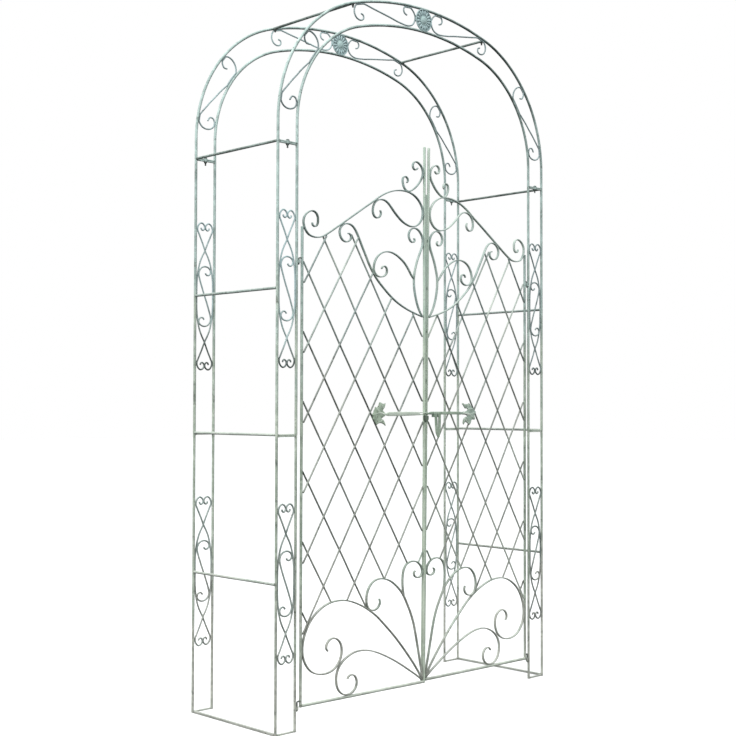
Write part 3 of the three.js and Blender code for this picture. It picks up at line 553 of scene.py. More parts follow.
def bolt(shape, x, y, z_top, z_bottom, z_nut, radius=3.0, head=5.9):
    """A hexagon head with a washer above, a threaded tip and a nut below."""
    hexagon = lambda a: np.cos(math.pi / 6) / np.cos((a % (math.pi / 3)) - math.pi / 6)
    c = (x, y, 0)
    shape.lathe([(0, z_top - 0.2), (head * 0.62, z_top), (head * 0.86, z_top - 0.5), (head, z_top - 1.2),
                 (head, z_top - 4.0), (head * 0.96, z_top - 4.3), (0, z_top - 4.3)][::-1], c, (0, 0, 1), 24,
                wave=hexagon, tone=-0.2)
    shape.lathe([(0, z_top - 5.2), (6.9, z_top - 5.2), (7.2, z_top - 4.9), (7.1, z_top - 4.4), (0, z_top - 4.3)],
                c, (0, 0, 1), 24, tone=-0.1)
    turns = int((z_nut - z_bottom) / 1.0)
    thread = [(0, z_bottom - 0.1), (radius * 0.7, z_bottom)]
    for k in range(turns):
        z = z_bottom + 0.7 + k * 1.0
        thread += [(radius * 0.98, z), (radius * 0.88, z + 0.5)]
    thread += [(radius, z_nut + 0.5), (radius, z_top - 5), (0, z_top - 5)]
    shape.lathe(thread, c, (0, 0, 1), 16, tone=-0.35)
    shape.lathe([(0, z_nut - 4.6), (head * 0.8, z_nut - 4.6), (head, z_nut - 3.9), (head, z_nut - 0.7),
                 (head * 0.82, z_nut), (0, z_nut)], c, (0, 0, 1), 24, wave=hexagon, tone=-0.3, spin=0.3)


def joint_bar(shape, side, z, y_half, height, boss=False):
    """A flat bar from rail to rail with a weld at each end."""
    sec = bar_section(2 * y_half, height, 1.1, 3)
    path = wobbly((side * (INNER_X + 2), 0, z), (side * (OUTER_X - 2), 0, z), shape.rng, 0.2, 8)
    if side < 0:
        path = path[::-1]
    shape.sweep(path, sec, tone=0.3)
    for x in (INNER_X + 5.6, OUTER_X - 5.6):
        for y in (-2.4, 2.4):
            shape.blob((side * x, y, z), (2.2, 2.6, height * 0.62), tone=-0.1)
    if boss:
        shape.lathe([(0, z - height / 2 - 0.25), (6.6, z - height / 2 - 0.25), (7.4, z - height / 2 + 0.4),
                     (7.4, z + height / 2 - 0.4), (6.6, z + height / 2 + 0.25), (0, z + height / 2 + 0.25)],
                    (side * MID_X, 0, 0), (0, 0, 1), 24, tone=-0.1)


def hinge_eye(shape, side, z0, z1):
    shape.lathe(ring_profile(3.0, 5.0, z0, z1), (side * HINGE_X, 0, 0), (0, 0, 1), 24, closed=True, tone=-0.15)
    path = np.array([[side * (HINGE_X + 4.0), 0, (z0 + z1) / 2], [side * (HINGE_X + 5.2), 0, (z0 + z1) / 2],
                     [side * (INNER_X - 3.2), 0, (z0 + z1) / 2]])
    shape.sweep(path, bar_section(4.6, z1 - z0 - 2.2, 1.2), ends=("cut", "cut"), tone=-0.2, blunt=0.2)
    for z in (z0 + 1.5, z1 - 1.5):
        for y in (-2.6, 2.6):
            shape.blob((side * (INNER_X - 4.3), y, z), (2.0, 1.9, 2.8), tone=-0.2)


def leg_section(name, side, lower, eye, place, body=BODY):
    s = Shape(name + "_look", place)
    shade = -0.12 if side < 0 and not eye else 0.0
    if lower:
        shade = (-0.15 if eye else -0.05) if side < 0 else (-0.15 if eye else 0.2)
    r = RAIL_R_LOW if lower else RAIL_R
    z0 = -Z0 + 0.06 if lower else Z_C + 0.15
    z1 = Z_C - 0.15 if lower else Z_A - 0.15
    for x in (OUTER_X, INNER_X):
        path = wobbly((side * x, 0, z0), (side * x, 0, z1), s.rng, 0.18)
        scale = np.ones(len(path))
        if not lower:
            # the sleeve that slips over the lower rail is swollen a little
            zz = path[:, 2] - z0
            scale = 0.975 + 0.02 * np.exp(-(zz / 30.0) ** 4)
        s.sweep(path, round_section(r, 18), scale=scale, uneven=0.012, tone=shade)
    if lower:
        path = np.array([[side * (INNER_X + 2), 0, z0 + 3], [side * MID_X, 0, z0 + 3.05], [side * (OUTER_X - 2), 0, z0 + 3]])
        if side < 0:
            path = path[::-1]
        s.sweep(even(path, 9), bar_section(6, 5.6, 1.0), tone=0.55 if side < 0 else 0.05)
        for x in (INNER_X + 5.2, OUTER_X - 5.2):
            s.blob((side * x, -1.2, z0 + 3.6), (2.2, 3.2, 2.9))
            s.blob((side * x, 1.2, z0 + 3.6), (2.2, 3.2, 2.9))
        joint_bar(s, side, z1 - BAR_H / 2, 4.0, BAR_H)
    else:
        joint_bar(s, side, z0 + BAR_H / 2, 4.0, BAR_H)
        joint_bar(s, side, z1 - BAR_H / 2, 4.0, BAR_H, boss=True)
    if eye:
        hinge_eye(s, side, *eye)
    return s.make(body, "leg_paint", LEG, name)


CURL = [
    (-17.5, 241), (-15.5, 235), (-9.5, 232.5), (-3.4, 237.5), (-2.3, 246), (-8.5, 254.5),
    (-17.5, 257.5), (-26.5, 252.5), (-32, 243), (-33.2, 232),
]
LEG_ROD = CURL + [
    (-27, 218), (-12, 187), (0, 159.5), (12, 138), (20, 120), (26, 99), (30.5, 75),
    (33.2, 46), (33.2, -46), (30.5, -75), (26, -99), (20, -120), (12, -138), (0, -159.5),
    (-12, -187), (-27, -218),
] + [(t, -s) for t, s in CURL][::-1]
LEG_S = [
    (2, 82), (7, 76), (14, 74.5), (21, 78), (25, 86), (23, 95), (14, 102.5), (0, 105), (-13, 101),
    (-22, 92), (-26, 80), (-24, 66), (-11, 28), (0, 0), (11, -28), (24, -66), (26, -80), (22, -92),
    (13, -101), (0, -105), (-14, -102.5), (-23, -95), (-25, -86), (-21, -78), (-14, -74.5),
    (-7, -76), (-2, -82),
]
WIRE_LIMIT = BAND / 2 - RAIL_R - WIRE_R + 0.25


def runs(mask):
    """(first, last) of each run of true values."""
    idx = np.flatnonzero(mask)
    if not len(idx):
        return []
    cut = np.flatnonzero(np.diff(idx) > 1)
    return list(zip(idx[np.r_[0, cut + 1]], idx[np.r_[cut, len(idx) - 1]]))


def touch_points(mask, s, apart=38.0):
    """Where to put weld lumps along each stretch that touches."""
    out = []
    for a, b in runs(mask):
        L = s[b] - s[a]
        n = max(1, int(round(L / apart)))
        for k in range(n):
            want = s[a] + L * (k + 0.5) / n
            out.append(int(np.argmin(np.abs(s - want))))
    return out


def crossings(p, q, reach, apart=9.0):
    """Middle points where two upright-plane paths come within reach of each other."""
    d = np.linalg.norm(p[:, None] - q[None], axis=2)
    i, j = np.where(d < reach)
    if not len(i):
        return []
    order = np.argsort(d[i, j])
    out = []
    for k in order:
        m = (p[i[k]] + q[j[k]]) / 2
        if all(np.linalg.norm(m - o) > apart for o in out):
            out.append(m)
    return out


def leg_ornament(name, side, z_mid, place, tone=0.0, swell=WIRE_SWELL, dark_below=-400.0):
    s = Shape(name + "_look", place)
    limit = WIRE_LIMIT
    wires = []
    for pts, mirror, y in ((LEG_ROD, 1, -1.3), (LEG_ROD, -1, 1.3), (LEG_S, 1, 0.0)):
        c = smooth(pts, 1.2)
        t = np.clip(mirror * c[:, 0], -limit, limit)
        xz = np.stack([side * MID_X - side * t, z_mid + c[:, 1]], 1)
        wires.append(xz)
        ln = lengths(xz)
        fade = np.clip(np.minimum(ln, ln[-1] - ln) / 60.0, 0, 1)
        yy = y * fade + 0.25 * drift(ln, s.rng, 300, 3)
        s.sweep(thin(in_plane(xz, yy)), round_section(WIRE_R + swell, 12), uneven=0.03,
                tone=lambda P: np.interp(P[:, 2] - z_mid, (dark_below - 30.0, dark_below + 30.0), (-0.5, tone)))
        for i in touch_points(np.abs(t) > limit - 0.35, ln, 48.0):
            x = side * MID_X - side * np.sign(t[i]) * (limit + 2.4)
            s.blob((x, yy[i], xz[i, 1]), (1.9, 2.5, 3.6))
    for a in range(3):
        for b in range(a + 1, 3):
            for m in crossings(wires[a][::2], wires[b][::2], 3.0, 12.0):
                s.blob((m[0], 0, m[1]), (2.5, 3.4, 2.7), weld=0.7)
    return s.make(BODY, "ornament_paint", ORNAMENT, name)


FRONT, REAR = arch_place(), arch_place(DEPTH)
for side_name, side in (("left", -1), ("right", 1)):
    for face, place in (("front", FRONT), ("rear", REAR)):
        front = face == "front"
        leg_section(f"{side_name}_{face}_lower_leg", side, True, (64, 77) if front else None, place)
        leg_section(f"{side_name}_{face}_upper_leg", side, False, (1527, 1540) if front else None, place)
        lower, upper = {(-1, True): (0.2, 0.75), (-1, False): (0.35, 0.5),
                        (1, True): (-0.1, 0.1), (1, False): (0.4, 0.3)}[(side, front)]
        leg_ornament(f"{side_name}_{face}_lower_leg_scroll", side, Z_D, place, lower, 0.55)
        leg_ornament(f"{side_name}_{face}_upper_leg_scroll", side, Z_B, place, upper,
                     dark_below=(-210.0 if front else -120.0) if side < 0 else -230.0)


# ---------------------------------------------------------------- hoops
def hoop_path(offset, fine=1.0):
    turn = math.atan2(HAUNCH_CX, HAUNCH_Z - CROWN_CZ)
    right = [(OUTER_X - offset, Z_A + 0.15), (OUTER_X - offset, Z_A + 35)]
    for i in range(121):
        a = (math.pi / 2 - turn) * i / 120
        right.append((HAUNCH_CX + (HAUNCH_R - offset) * math.cos(a), HAUNCH_Z + (HAUNCH_R - offset) * math.sin(a)))
    for i in range(1, 61):
        a = turn * (1 - i / 60)
        right.append(((CROWN_R - offset) * math.sin(a), CROWN_CZ + (CROWN_R - offset) * math.cos(a)))
    left = [(-x, z) for x, z in right[:-1]]
    return np.array(left + right[::-1])


def hoop(name, place):
    s = Shape(name + "_look", place)
    for offset in (0, BAND):
        xz = even(hoop_path(offset), 9.0)
        ln = lengths(xz)
        yy = 0.35 * drift(ln, s.rng, 900, 3) * np.clip(np.minimum(ln, ln[-1] - ln) / 200.0, 0, 1)
        # painted shade: the tone runs from light on the left haunch to dark on the right of the crown
        s.sweep(in_plane(xz, yy), round_section(RAIL_R * 0.975, 18), uneven=0.010,
                tone=lambda P: np.interp(P[:, 0], (-600.0, -250.0, 100.0, 400.0, 580.0, 675.0),
                                         (0.15, 0.1, -0.15, -0.36, -0.25, -0.05)))
    z0 = Z_A + 0.15
    for side in (-1, 1):
        joint_bar(s, side, z0 + BAR_H / 2, 4.0, BAR_H, boss=True)
    return s.make(BODY, "hoop_paint", HOOP, name)


def band_coordinate(xz):
    """Distance across the hoop's band from its middle line, positive outwards, and the unit vector that way."""
    x, z = xz[:, 0], xz[:, 1]
    ax = np.abs(x)
    sx = np.where(x < 0, -1.0, 1.0)
    mid = BAND / 2
    crown = ax * (HAUNCH_Z - CROWN_CZ) < HAUNCH_CX * (z - CROWN_CZ)
    cx = np.where(crown, 0.0, HAUNCH_CX)
    cz = np.where(crown, CROWN_CZ, HAUNCH_Z)
    R = np.where(crown, CROWN_R - mid, HAUNCH_R - mid)
    d = np.hypot(ax - cx, z - cz)
    ux, uz = (ax - cx) / d, (z - cz) / d
    t = d - R
    low = z <= HAUNCH_Z
    t = np.where(low, ax - (OUTER_X - mid), t)
    ux = np.where(low, 1.0, ux)
    uz = np.where(low, 0.0, uz)
    return t, np.stack([ux * sx, uz], 1)


def inside_band(xz, limit):
    t, out = band_coordinate(xz)
    return xz + out * (np.clip(t, -limit, limit) - t)[:, None]


SHOULDER = [
    (633, 2062), (623, 2075), (609, 2073), (603, 2059), (608, 2044), (622, 2034.5), (642, 2032.5),
    (660, 2040), (670.5, 2056), (669.5, 2074), (659, 2089), (641, 2109), (622, 2130), (601, 2151),
    (581, 2172), (558, 2193), (533, 2214), (515, 2236), (508, 2258), (512, 2281), (527, 2299),
    (548, 2306), (565, 2297), (570, 2280), (562, 2264), (548, 2262),
]
CROWN = [
    (84, 2458), (96, 2463), (101, 2474), (96, 2485), (84, 2490.5), (68, 2489), (53, 2479),
    (42.6, 2462), (44.5, 2445), (56, 2429), (78, 2421), (126, 2424), (170, 2432), (214, 2439),
    (259, 2446), (300, 2452), (325, 2448), (340, 2434), (343, 2415), (333, 2398), (314, 2392),
    (300, 2399), (300, 2411), (311, 2416),
]


def band_wire(s, points, side, tone=0.0):
    xz = inside_band(smooth(points, 1.2), WIRE_LIMIT)
    xz[:, 0] *= side
    ln = lengths(xz)
    yy = 0.4 * drift(ln, s.rng, 300, 3)
    s.sweep(thin(in_plane(xz, yy)), round_section(WIRE_R + WIRE_SWELL, 12), uneven=0.03, tone=tone)
    t, out = band_coordinate(xz)
    for i in touch_points(np.abs(t) > WIRE_LIMIT - 0.3, ln, 34.0):
        c = xz[i] + out[i] * np.sign(t[i]) * 2.3
        s.blob((c[0], yy[i], c[1]), (2.2, 2.4, 3.2), turn=math.atan2(-out[i, 1], out[i, 0]))
    return xz


def rosette(s):
    """A cast daisy: a domed middle, sixteen petals and a beaded rim on a thin dished plate."""
    c = (0, 0, MEDALLION_Z)
    s.lathe([(0, 0.9), (38.2, 0.9), (38.2, 1.7), (30.0, 2.2), (18.0, 1.9), (0, 1.9)], c, (0, -1, 0), 48, tone=0.2)
    s.leafy = 0.5
    s.lathe([(0, 1.0), (16.6, 1.0), (17.6, 1.8), (17.6, 3.4), (16.6, 4.6), (14.4, 4.2), (13.4, 4.6),
             (11.6, 6.1), (8.2, 7.5), (4.2, 8.0), (0, 8.15)], c, (0, -1, 0), 36, tone=1.0)
    s.leafy = 0.0
    s.lathe([(37.6, 1.6), (39.0, 0.9), (40.4, 1.1), (41.3, 2.4), (41.3, 4.4), (40.4, 5.6), (39.0, 5.9), (37.8, 5.0)],
            c, (0, -1, 0), 72, closed=True, tone=0.85)
    oval = round_section(1.0, 12) * np.array([2.3, 4.3])
    for k in range(16):
        a = 2 * math.pi * (k + 0.5) / 16
        e = np.array([math.cos(a), math.sin(a)])
        q = np.linspace(0, 1, 11)
        r = 18.2 + 19.0 * q
        y = -2.6 - 1.3 * np.sin(math.pi * q)
        path = np.stack([e[0] * r, y, MEDALLION_Z + e[1] * r], 1)
        full = 0.5 + 0.5 * np.sin(math.pi * np.clip(q, 0.0, 1.0) * 0.86 + 0.1)
        s.sweep(path, oval, scale=full, ends=("round", "round"), tone=0.95, uneven=0.05)
        a2 = 2 * math.pi * k / 16
        s.blob((34.6 * math.cos(a2), -2.8, MEDALLION_Z + 34.6 * math.sin(a2)), (1.9, 1.9, 1.9), weld=0.0, tone=1.0)


def crown_scrollwork(name, place, tones):
    s = Shape(name + "_look", place)
    for side, shade in zip((-1, 1), tones):
        band_wire(s, CROWN, side, shade)
        for z in (2447.0, 2464.0):
            s.blob((side * 41.8, -1.6, z), (2.5, 3.2, 3.2))
    rosette(s)
    for z in (MEDALLION_Z + 38.6, MEDALLION_Z - 39.2):
        for x in (-8.0, 8.0):
            s.blob((x, -1.5, z), (4.0, 3.4, 2.2), weld=0.7)
    return s.make(BODY, "ornament_paint", ORNAMENT, name)


def shoulder_scroll(name, side, place, shade):
    s = Shape(name + "_look", place)
    band_wire(s, SHOULDER, side, shade)
    return s.make(BODY, "ornament_paint", ORNAMENT, name)


for face, place in (("front", FRONT), ("rear", REAR)):
    hoop(f"{face}_hoop", place)
    front = face == "front"
    shoulder_scroll(f"{face}_left_shoulder_scroll", -1, place, -0.05 if front else 0.45)
    shoulder_scroll(f"{face}_right_shoulder_scroll", 1, place, 0.35 if front else 0.05)
    crown_scrollwork(f"{face}_crown_scrollwork", place, (0.35, 0.35) if front else (0.85, 0.2))
    for side_name, side in (("left", -1), ("right", 1)):
        name = f"{face}_{side_name}_joint_bolt"
        s = Shape(name + "_look", place)
        bolt(s, side * MID_X, 0, Z_A + BAR_H + 5.4, Z_A - BAR_H - 14, Z_A - BAR_H - 0.5)
        s.make(BODY, "hardware_paint", HARDWARE, name)

# ---------------------------------------------------------------- rungs
RUNG_Y0, RUNG_Y1 = RAIL_R - 0.6, DEPTH - RAIL_R + 0.6
RUNG_TONE = {"base": (0.2, 0.35), "lower_side": (0.4, 0.05), "middle_side": (0.55, 0.3),
             "upper_side": (0.1, -0.05), "top_side": (-0.3, -0.45)}
for side_name, side in (("left", -1), ("right", 1)):
    x = side * OUTER_X
    for label, z in (("base", -0.93), ("lower_side", Z_D), ("middle_side", Z_C + 2.5),
                     ("upper_side", Z_B), ("top_side", Z_A + 1)):
        name = f"{side_name}_{label}_rung"
        shade = RUNG_TONE[label][side > 0]
        s = Shape(name + "_look", FRONT)
        path = wobbly((x, RUNG_Y0, z), (x, RUNG_Y1, z), s.rng, 0.35)
        if label == "base":
            s.sweep(path, bar_section(8.4, 7.6, 1.2), up=(1, 0, 0), tone=shade)
            for y, d in ((RUNG_Y0, 1), (RUNG_Y1, -1)):
                for dx in (-2.2, 2.2):
                    s.blob((x + dx, y + 0.9 * d, z + 1.6), (2.1, 1.9, 2.9), tone=0.1)
        else:
            s.sweep(path, round_section(RUNG_R * 0.985, 18), up=(1, 0, 0), uneven=0.012, tone=shade)
            for y, d in ((RUNG_Y0, 1), (RUNG_Y1, -1)):
                # a fillet of weld round the end
                prof = [(3.1, -0.2), (4.75, 0.2), (4.7, 1.0), (4.3, 2.4), (3.1, 2.6)]
                ph = s.rng.uniform(0, 6.28)
                s.lathe(prof, (x, y, z), (0, d, 0), 18, tone=shade - 0.1, weld=0.8, closed=True,
                        wave=lambda a: 0.99 + 0.03 * np.sin(3 * a + ph) + 0.02 * np.sin(7 * a))
        s.make(BODY, "rung_paint", RUNG, name)

arch_rung_z = CROWN_CZ + math.sqrt(CROWN_R ** 2 - ARCH_RUNG_X ** 2)
for side_name, side in (("left", -1), ("right", 1)):
    x = side * ARCH_RUNG_X
    name = f"{side_name}_arch_rung"
    s = Shape(name + "_look", FRONT)
    s.sweep(wobbly((x, RUNG_Y0, arch_rung_z), (x, RUNG_Y1, arch_rung_z), s.rng, 0.5), round_section(RUNG_R, 18),
            up=(1, 0, 0), uneven=0.012, tone=-0.35)
    for y, d in ((RUNG_Y0, 1), (RUNG_Y1, -1)):
        s.blob((x, y + 0.6 * d, arch_rung_z), (4.6, 1.8, 4.4), tone=-0.6)
        yb = y + d * 9.3
        s.lathe([(0, -15.0), (2.6, -14.9), (3.0, -14.2), (3.0, -8.4), (4.3, -8.3), (4.4, -7.9), (4.4, -3.0),
                 (3.4, -2.4), (3.4, 0), (0, 0)], (x, yb, arch_rung_z), (0, 0, 1), 18, tone=-0.85)
    s.make(BODY, "rung_paint", RUNG, name)

# ---------------------------------------------------------------- gate leaves
TOP_BAR = [
    (42.5, 1667), (44.5, 1659.5), (51.5, 1655), (60, 1657), (66, 1665.5), (67.5, 1677), (66.5, 1688), (61, 1698.5), (51, 1705), (39, 1705.5),
    (24.5, 1699.5), (12, 1688), (5.5, 1672), (6.5, 1657), (13.5, 1641), (27, 1627), (45, 1620.5),
    (64, 1619.5), (84, 1623), (105, 1633), (160, 1667), (215, 1702), (270, 1737), (318, 1767),
    (350, 1788), (390, 1807), (430, 1817.5), (465, 1820), (497, 1816), (524, 1804), (543, 1787),
    (554.5, 1768), (557.4, 1750), (553, 1729), (540, 1711), (521, 1699.5), (500, 1696.5),
    (478, 1701), (455, 1711), (430, 1729), (413, 1744), (398, 1759), (386, 1769), (373, 1775.5),
    (356, 1777.5), (338, 1773), (324, 1762), (316.5, 1747), (315.5, 1730), (321, 1717.5),
    (331, 1711.5), (342, 1713), (350, 1720), (353.5, 1730), (350, 1739),
]
FINIAL = [
    (532, 1910), (526.5, 1904), (519, 1902), (511.5, 1906), (508, 1915), (511, 1925),
    (518.5, 1930.5), (528, 1931), (540, 1926), (550, 1917), (556, 1905), (557.4, 1892), (553, 1877),
    (541, 1859), (521, 1838.5), (502, 1826), (488, 1821), (476, 1822.5), (466, 1831), (459.5, 1844),
    (457.5, 1857), (460.5, 1867), (467.5, 1871.5), (476, 1871), (482.5, 1865), (483.5, 1857),
    (478.5, 1851),
]
SECOND_BAR = [
    (201, 1645), (208.5, 1644), (214.5, 1637.5), (214, 1628), (206, 1619.5), (194, 1615.5),
    (180, 1618.5), (169, 1628.5), (163.5, 1643), (165.5, 1658), (174.5, 1669), (188, 1676.5),
    (203, 1678), (218, 1674), (230, 1665), (240, 1652), (250, 1635), (262, 1612), (280, 1580),
    (298, 1547), (318, 1518), (340, 1493), (370, 1466), (405, 1438.5), (440, 1417.5), (480, 1400),
    (515, 1388.5), (557, 1376.5),
]
HEART = [
    (357, 1535), (361.5, 1542), (369.5, 1545.5), (378, 1542), (382.5, 1532.5), (380, 1520.5),
    (370.5, 1511.5), (357, 1507), (342, 1508), (328.5, 1515.5), (321, 1529), (321.5, 1545),
    (328, 1563), (341, 1579.5), (360, 1591.5), (384, 1597), (408, 1595), (430, 1587.5), (452, 1575),
    (470, 1561), (486, 1543), (499, 1525.5), (512, 1511),
]
LENS = [
    (513.5, 1656), (517.5, 1649.5), (514.5, 1643), (506, 1640.5), (497, 1644.5), (490.5, 1653.5),
    (488, 1664.5), (491, 1676), (499.5, 1686), (512, 1691.5), (526, 1691), (540, 1683.5),
    (551, 1670.5), (557.2, 1655), (557.4, 1641), (553, 1625), (542, 1602), (530.5, 1577),
    (521, 1549), (514.5, 1521), (513.5, 1498), (516.5, 1471), (523, 1443), (532.5, 1416),
    (544, 1394), (556, 1378),
]
FANS = [
    [
        (556, 84), (545, 105), (520, 140), (490, 177), (460, 212), (430, 245), (400, 275), (370, 303),
        (340, 330), (300, 357.5), (270, 374), (240, 387), (205, 398), (172, 402.5), (140, 401.5),
        (108, 394), (75, 377), (50, 357), (31, 333), (17, 305), (9, 277), (7.6, 250), (13, 225),
        (26, 201), (46, 181), (72, 169.5), (100, 166), (127, 169.5), (150, 180.5), (167, 198),
        (176.5, 220), (178, 240), (172, 260), (158, 274), (140, 280), (123, 275), (112, 262),
        (110.5, 248), (117, 239),
    ],
    [
        (556, 84), (530, 103), (500, 122), (460, 147), (420, 170), (380, 190), (340, 207), (305, 218),
        (270, 223), (238, 221.5), (208, 212), (182, 196.5), (164, 176.5), (155, 153), (154.5, 130),
        (161, 109), (174, 93), (192, 84.2), (211, 83.5), (228, 89), (241, 101), (246.5, 117),
        (243.5, 132.5), (234, 143.5), (221, 147), (210, 143), (204, 135),
    ],
    [
        (557, 84), (554, 115), (547, 148), (540, 180), (533, 212), (525, 248), (514, 290), (500, 327),
        (483, 360), (466, 390), (450, 410), (429, 429), (403, 446.5), (375, 456.5), (346, 459),
        (322, 452.5), (305, 438), (294, 419), (289.5, 397), (292, 376), (301, 361.5), (317, 354),
        (334, 356), (347, 365), (353, 378), (349.5, 391),
    ],
    [
        (468, 386), (463.5, 405), (460.5, 430), (461, 458), (466.5, 482), (478, 498), (495, 505.5),
        (514, 507), (531, 503), (545, 493), (554.5, 479.5), (557.2, 465), (552, 454), (541, 448),
        (528, 449), (518.5, 456), (516.5, 466), (522, 472.5),
    ],
]
RODS_UP = [
    (373.9, 460.6, 557.1, 767.4), (201.3, 402.5, 557.1, 998.6), (7.9, 309.8, 557.1, 1229.8),
    (7.9, 541, 512.2, 1385.8), (7.9, 772.2, 403.8, 1435.5), (7.9, 1003.4, 314.3, 1516.7),
    (7.9, 1234.6, 246.2, 1633.8), (7.9, 1465.8, 104.4, 1627.4),
]
RODS_DOWN = [
    (7.9, 377, 30.6, 339.1), (7.9, 608.2, 130.1, 403.6), (7.9, 839.4, 288.3, 369.8),
    (7.9, 1070.6, 371.4, 461.6), (7.9, 1301.8, 483.6, 504.9), (7.9, 1533, 557.1, 613),
    (92.4, 1622.7, 557.1, 844.2), (219.6, 1640.8, 557.1, 1075.4), (510.1, 1385.3, 557.1, 1306.6),
]
SHORT_ROD = (536.2, 501.2, 557.1, 536.2)

U_MIN = STILE_R + STRIP_T / 2 - 0.2
U_MAX = LEAF_W - 1 - STILE_R - STRIP_T / 2 + 0.9
Z_MIN = RAIL_Z + STILE_R + STRIP_T / 2 - 0.2


def leaf_curve(points):
    uz = smooth(points, 1.2)
    low = np.where(uz[:, 1] < HINGE_STILE_TOP + 3, U_MIN, -99.0)
    return np.stack([np.clip(uz[:, 0], low, U_MAX), np.maximum(uz[:, 1], Z_MIN)], 1)


def leaf_strips(s, side, group, tone=0.0, swell=0.3):
    """Flat bars bent on edge, with a lump of weld wherever two of them or a stile touch."""
    section = bar_section(STRIP_D, STRIP_T + swell, 0.9, 3)
    curves = []
    for points in group:
        uz = leaf_curve(points)
        xz = np.stack([-side * uz[:, 0], uz[:, 1]], 1)
        ln = lengths(xz)
        # the bar's end is drawn out a little thinner
        tip = 1 - 0.14 * (np.exp(-ln / 16.0) + np.exp(-(ln[-1] - ln) / 16.0))
        p3 = in_plane(xz, 0.35 * drift(ln, s.rng, 400, 3))
        keep = thin(p3)
        sc = np.interp(lengths(keep), ln, tip)
        s.sweep(keep, section, scale=sc, uneven=0.018, tone=tone)
        for i in touch_points(uz[:, 0] > U_MAX - 0.3, ln, 30.0):
            s.blob((-side * (U_MAX + 1.6), 0, uz[i, 1]), (1.9, 3.4, 4.4))
        for i in touch_points((uz[:, 0] < U_MIN + 0.3) & (uz[:, 1] < HINGE_STILE_TOP), ln, 30.0):
            s.blob((-side * (U_MIN - 1.6), 0, uz[i, 1]), (1.9, 3.4, 4.4))
        for i in touch_points(uz[:, 1] < Z_MIN + 0.3, ln, 22.0):
            s.blob((-side * uz[i, 0], 0, Z_MIN - 1.6), (4.4, 3.4, 1.9))
        curves.append(xz)
    for a in range(len(curves)):
        for b in range(a + 1, len(curves)):
            for m in crossings(curves[a][::2], curves[b][::2], 4.9, 16.0):
                s.blob((m[0], 0, m[1]), (3.0, 4.2, 3.4), weld=0.8)
    return curves


def leaf_rods(s, side, rods, layer, tones, rise=(0.0, 0.0, 0.0, 0.0)):
    """Round rods in one layer. `rise` is what is added to their shade at four heights, from the foot up."""
    for k, (u0, z0, u1, z1) in enumerate(rods):
        path = wobbly((-side * u0, layer, z0), (-side * u1, layer, z1), s.rng, 0.9, 16)
        shade = tones[k % len(tones)]
        s.sweep(path, round_section(ROD_R + 0.9, 12), uneven=0.02,
                tone=lambda P, q=shade: q + np.interp(P[:, 2], (500.0, 830.0, 1150.0, 1450.0), rise))
        for u, z in ((u0, z0), (u1, z1)):
            s.blob((-side * u, layer * 0.7, z), (2.6, 2.5, 3.0))


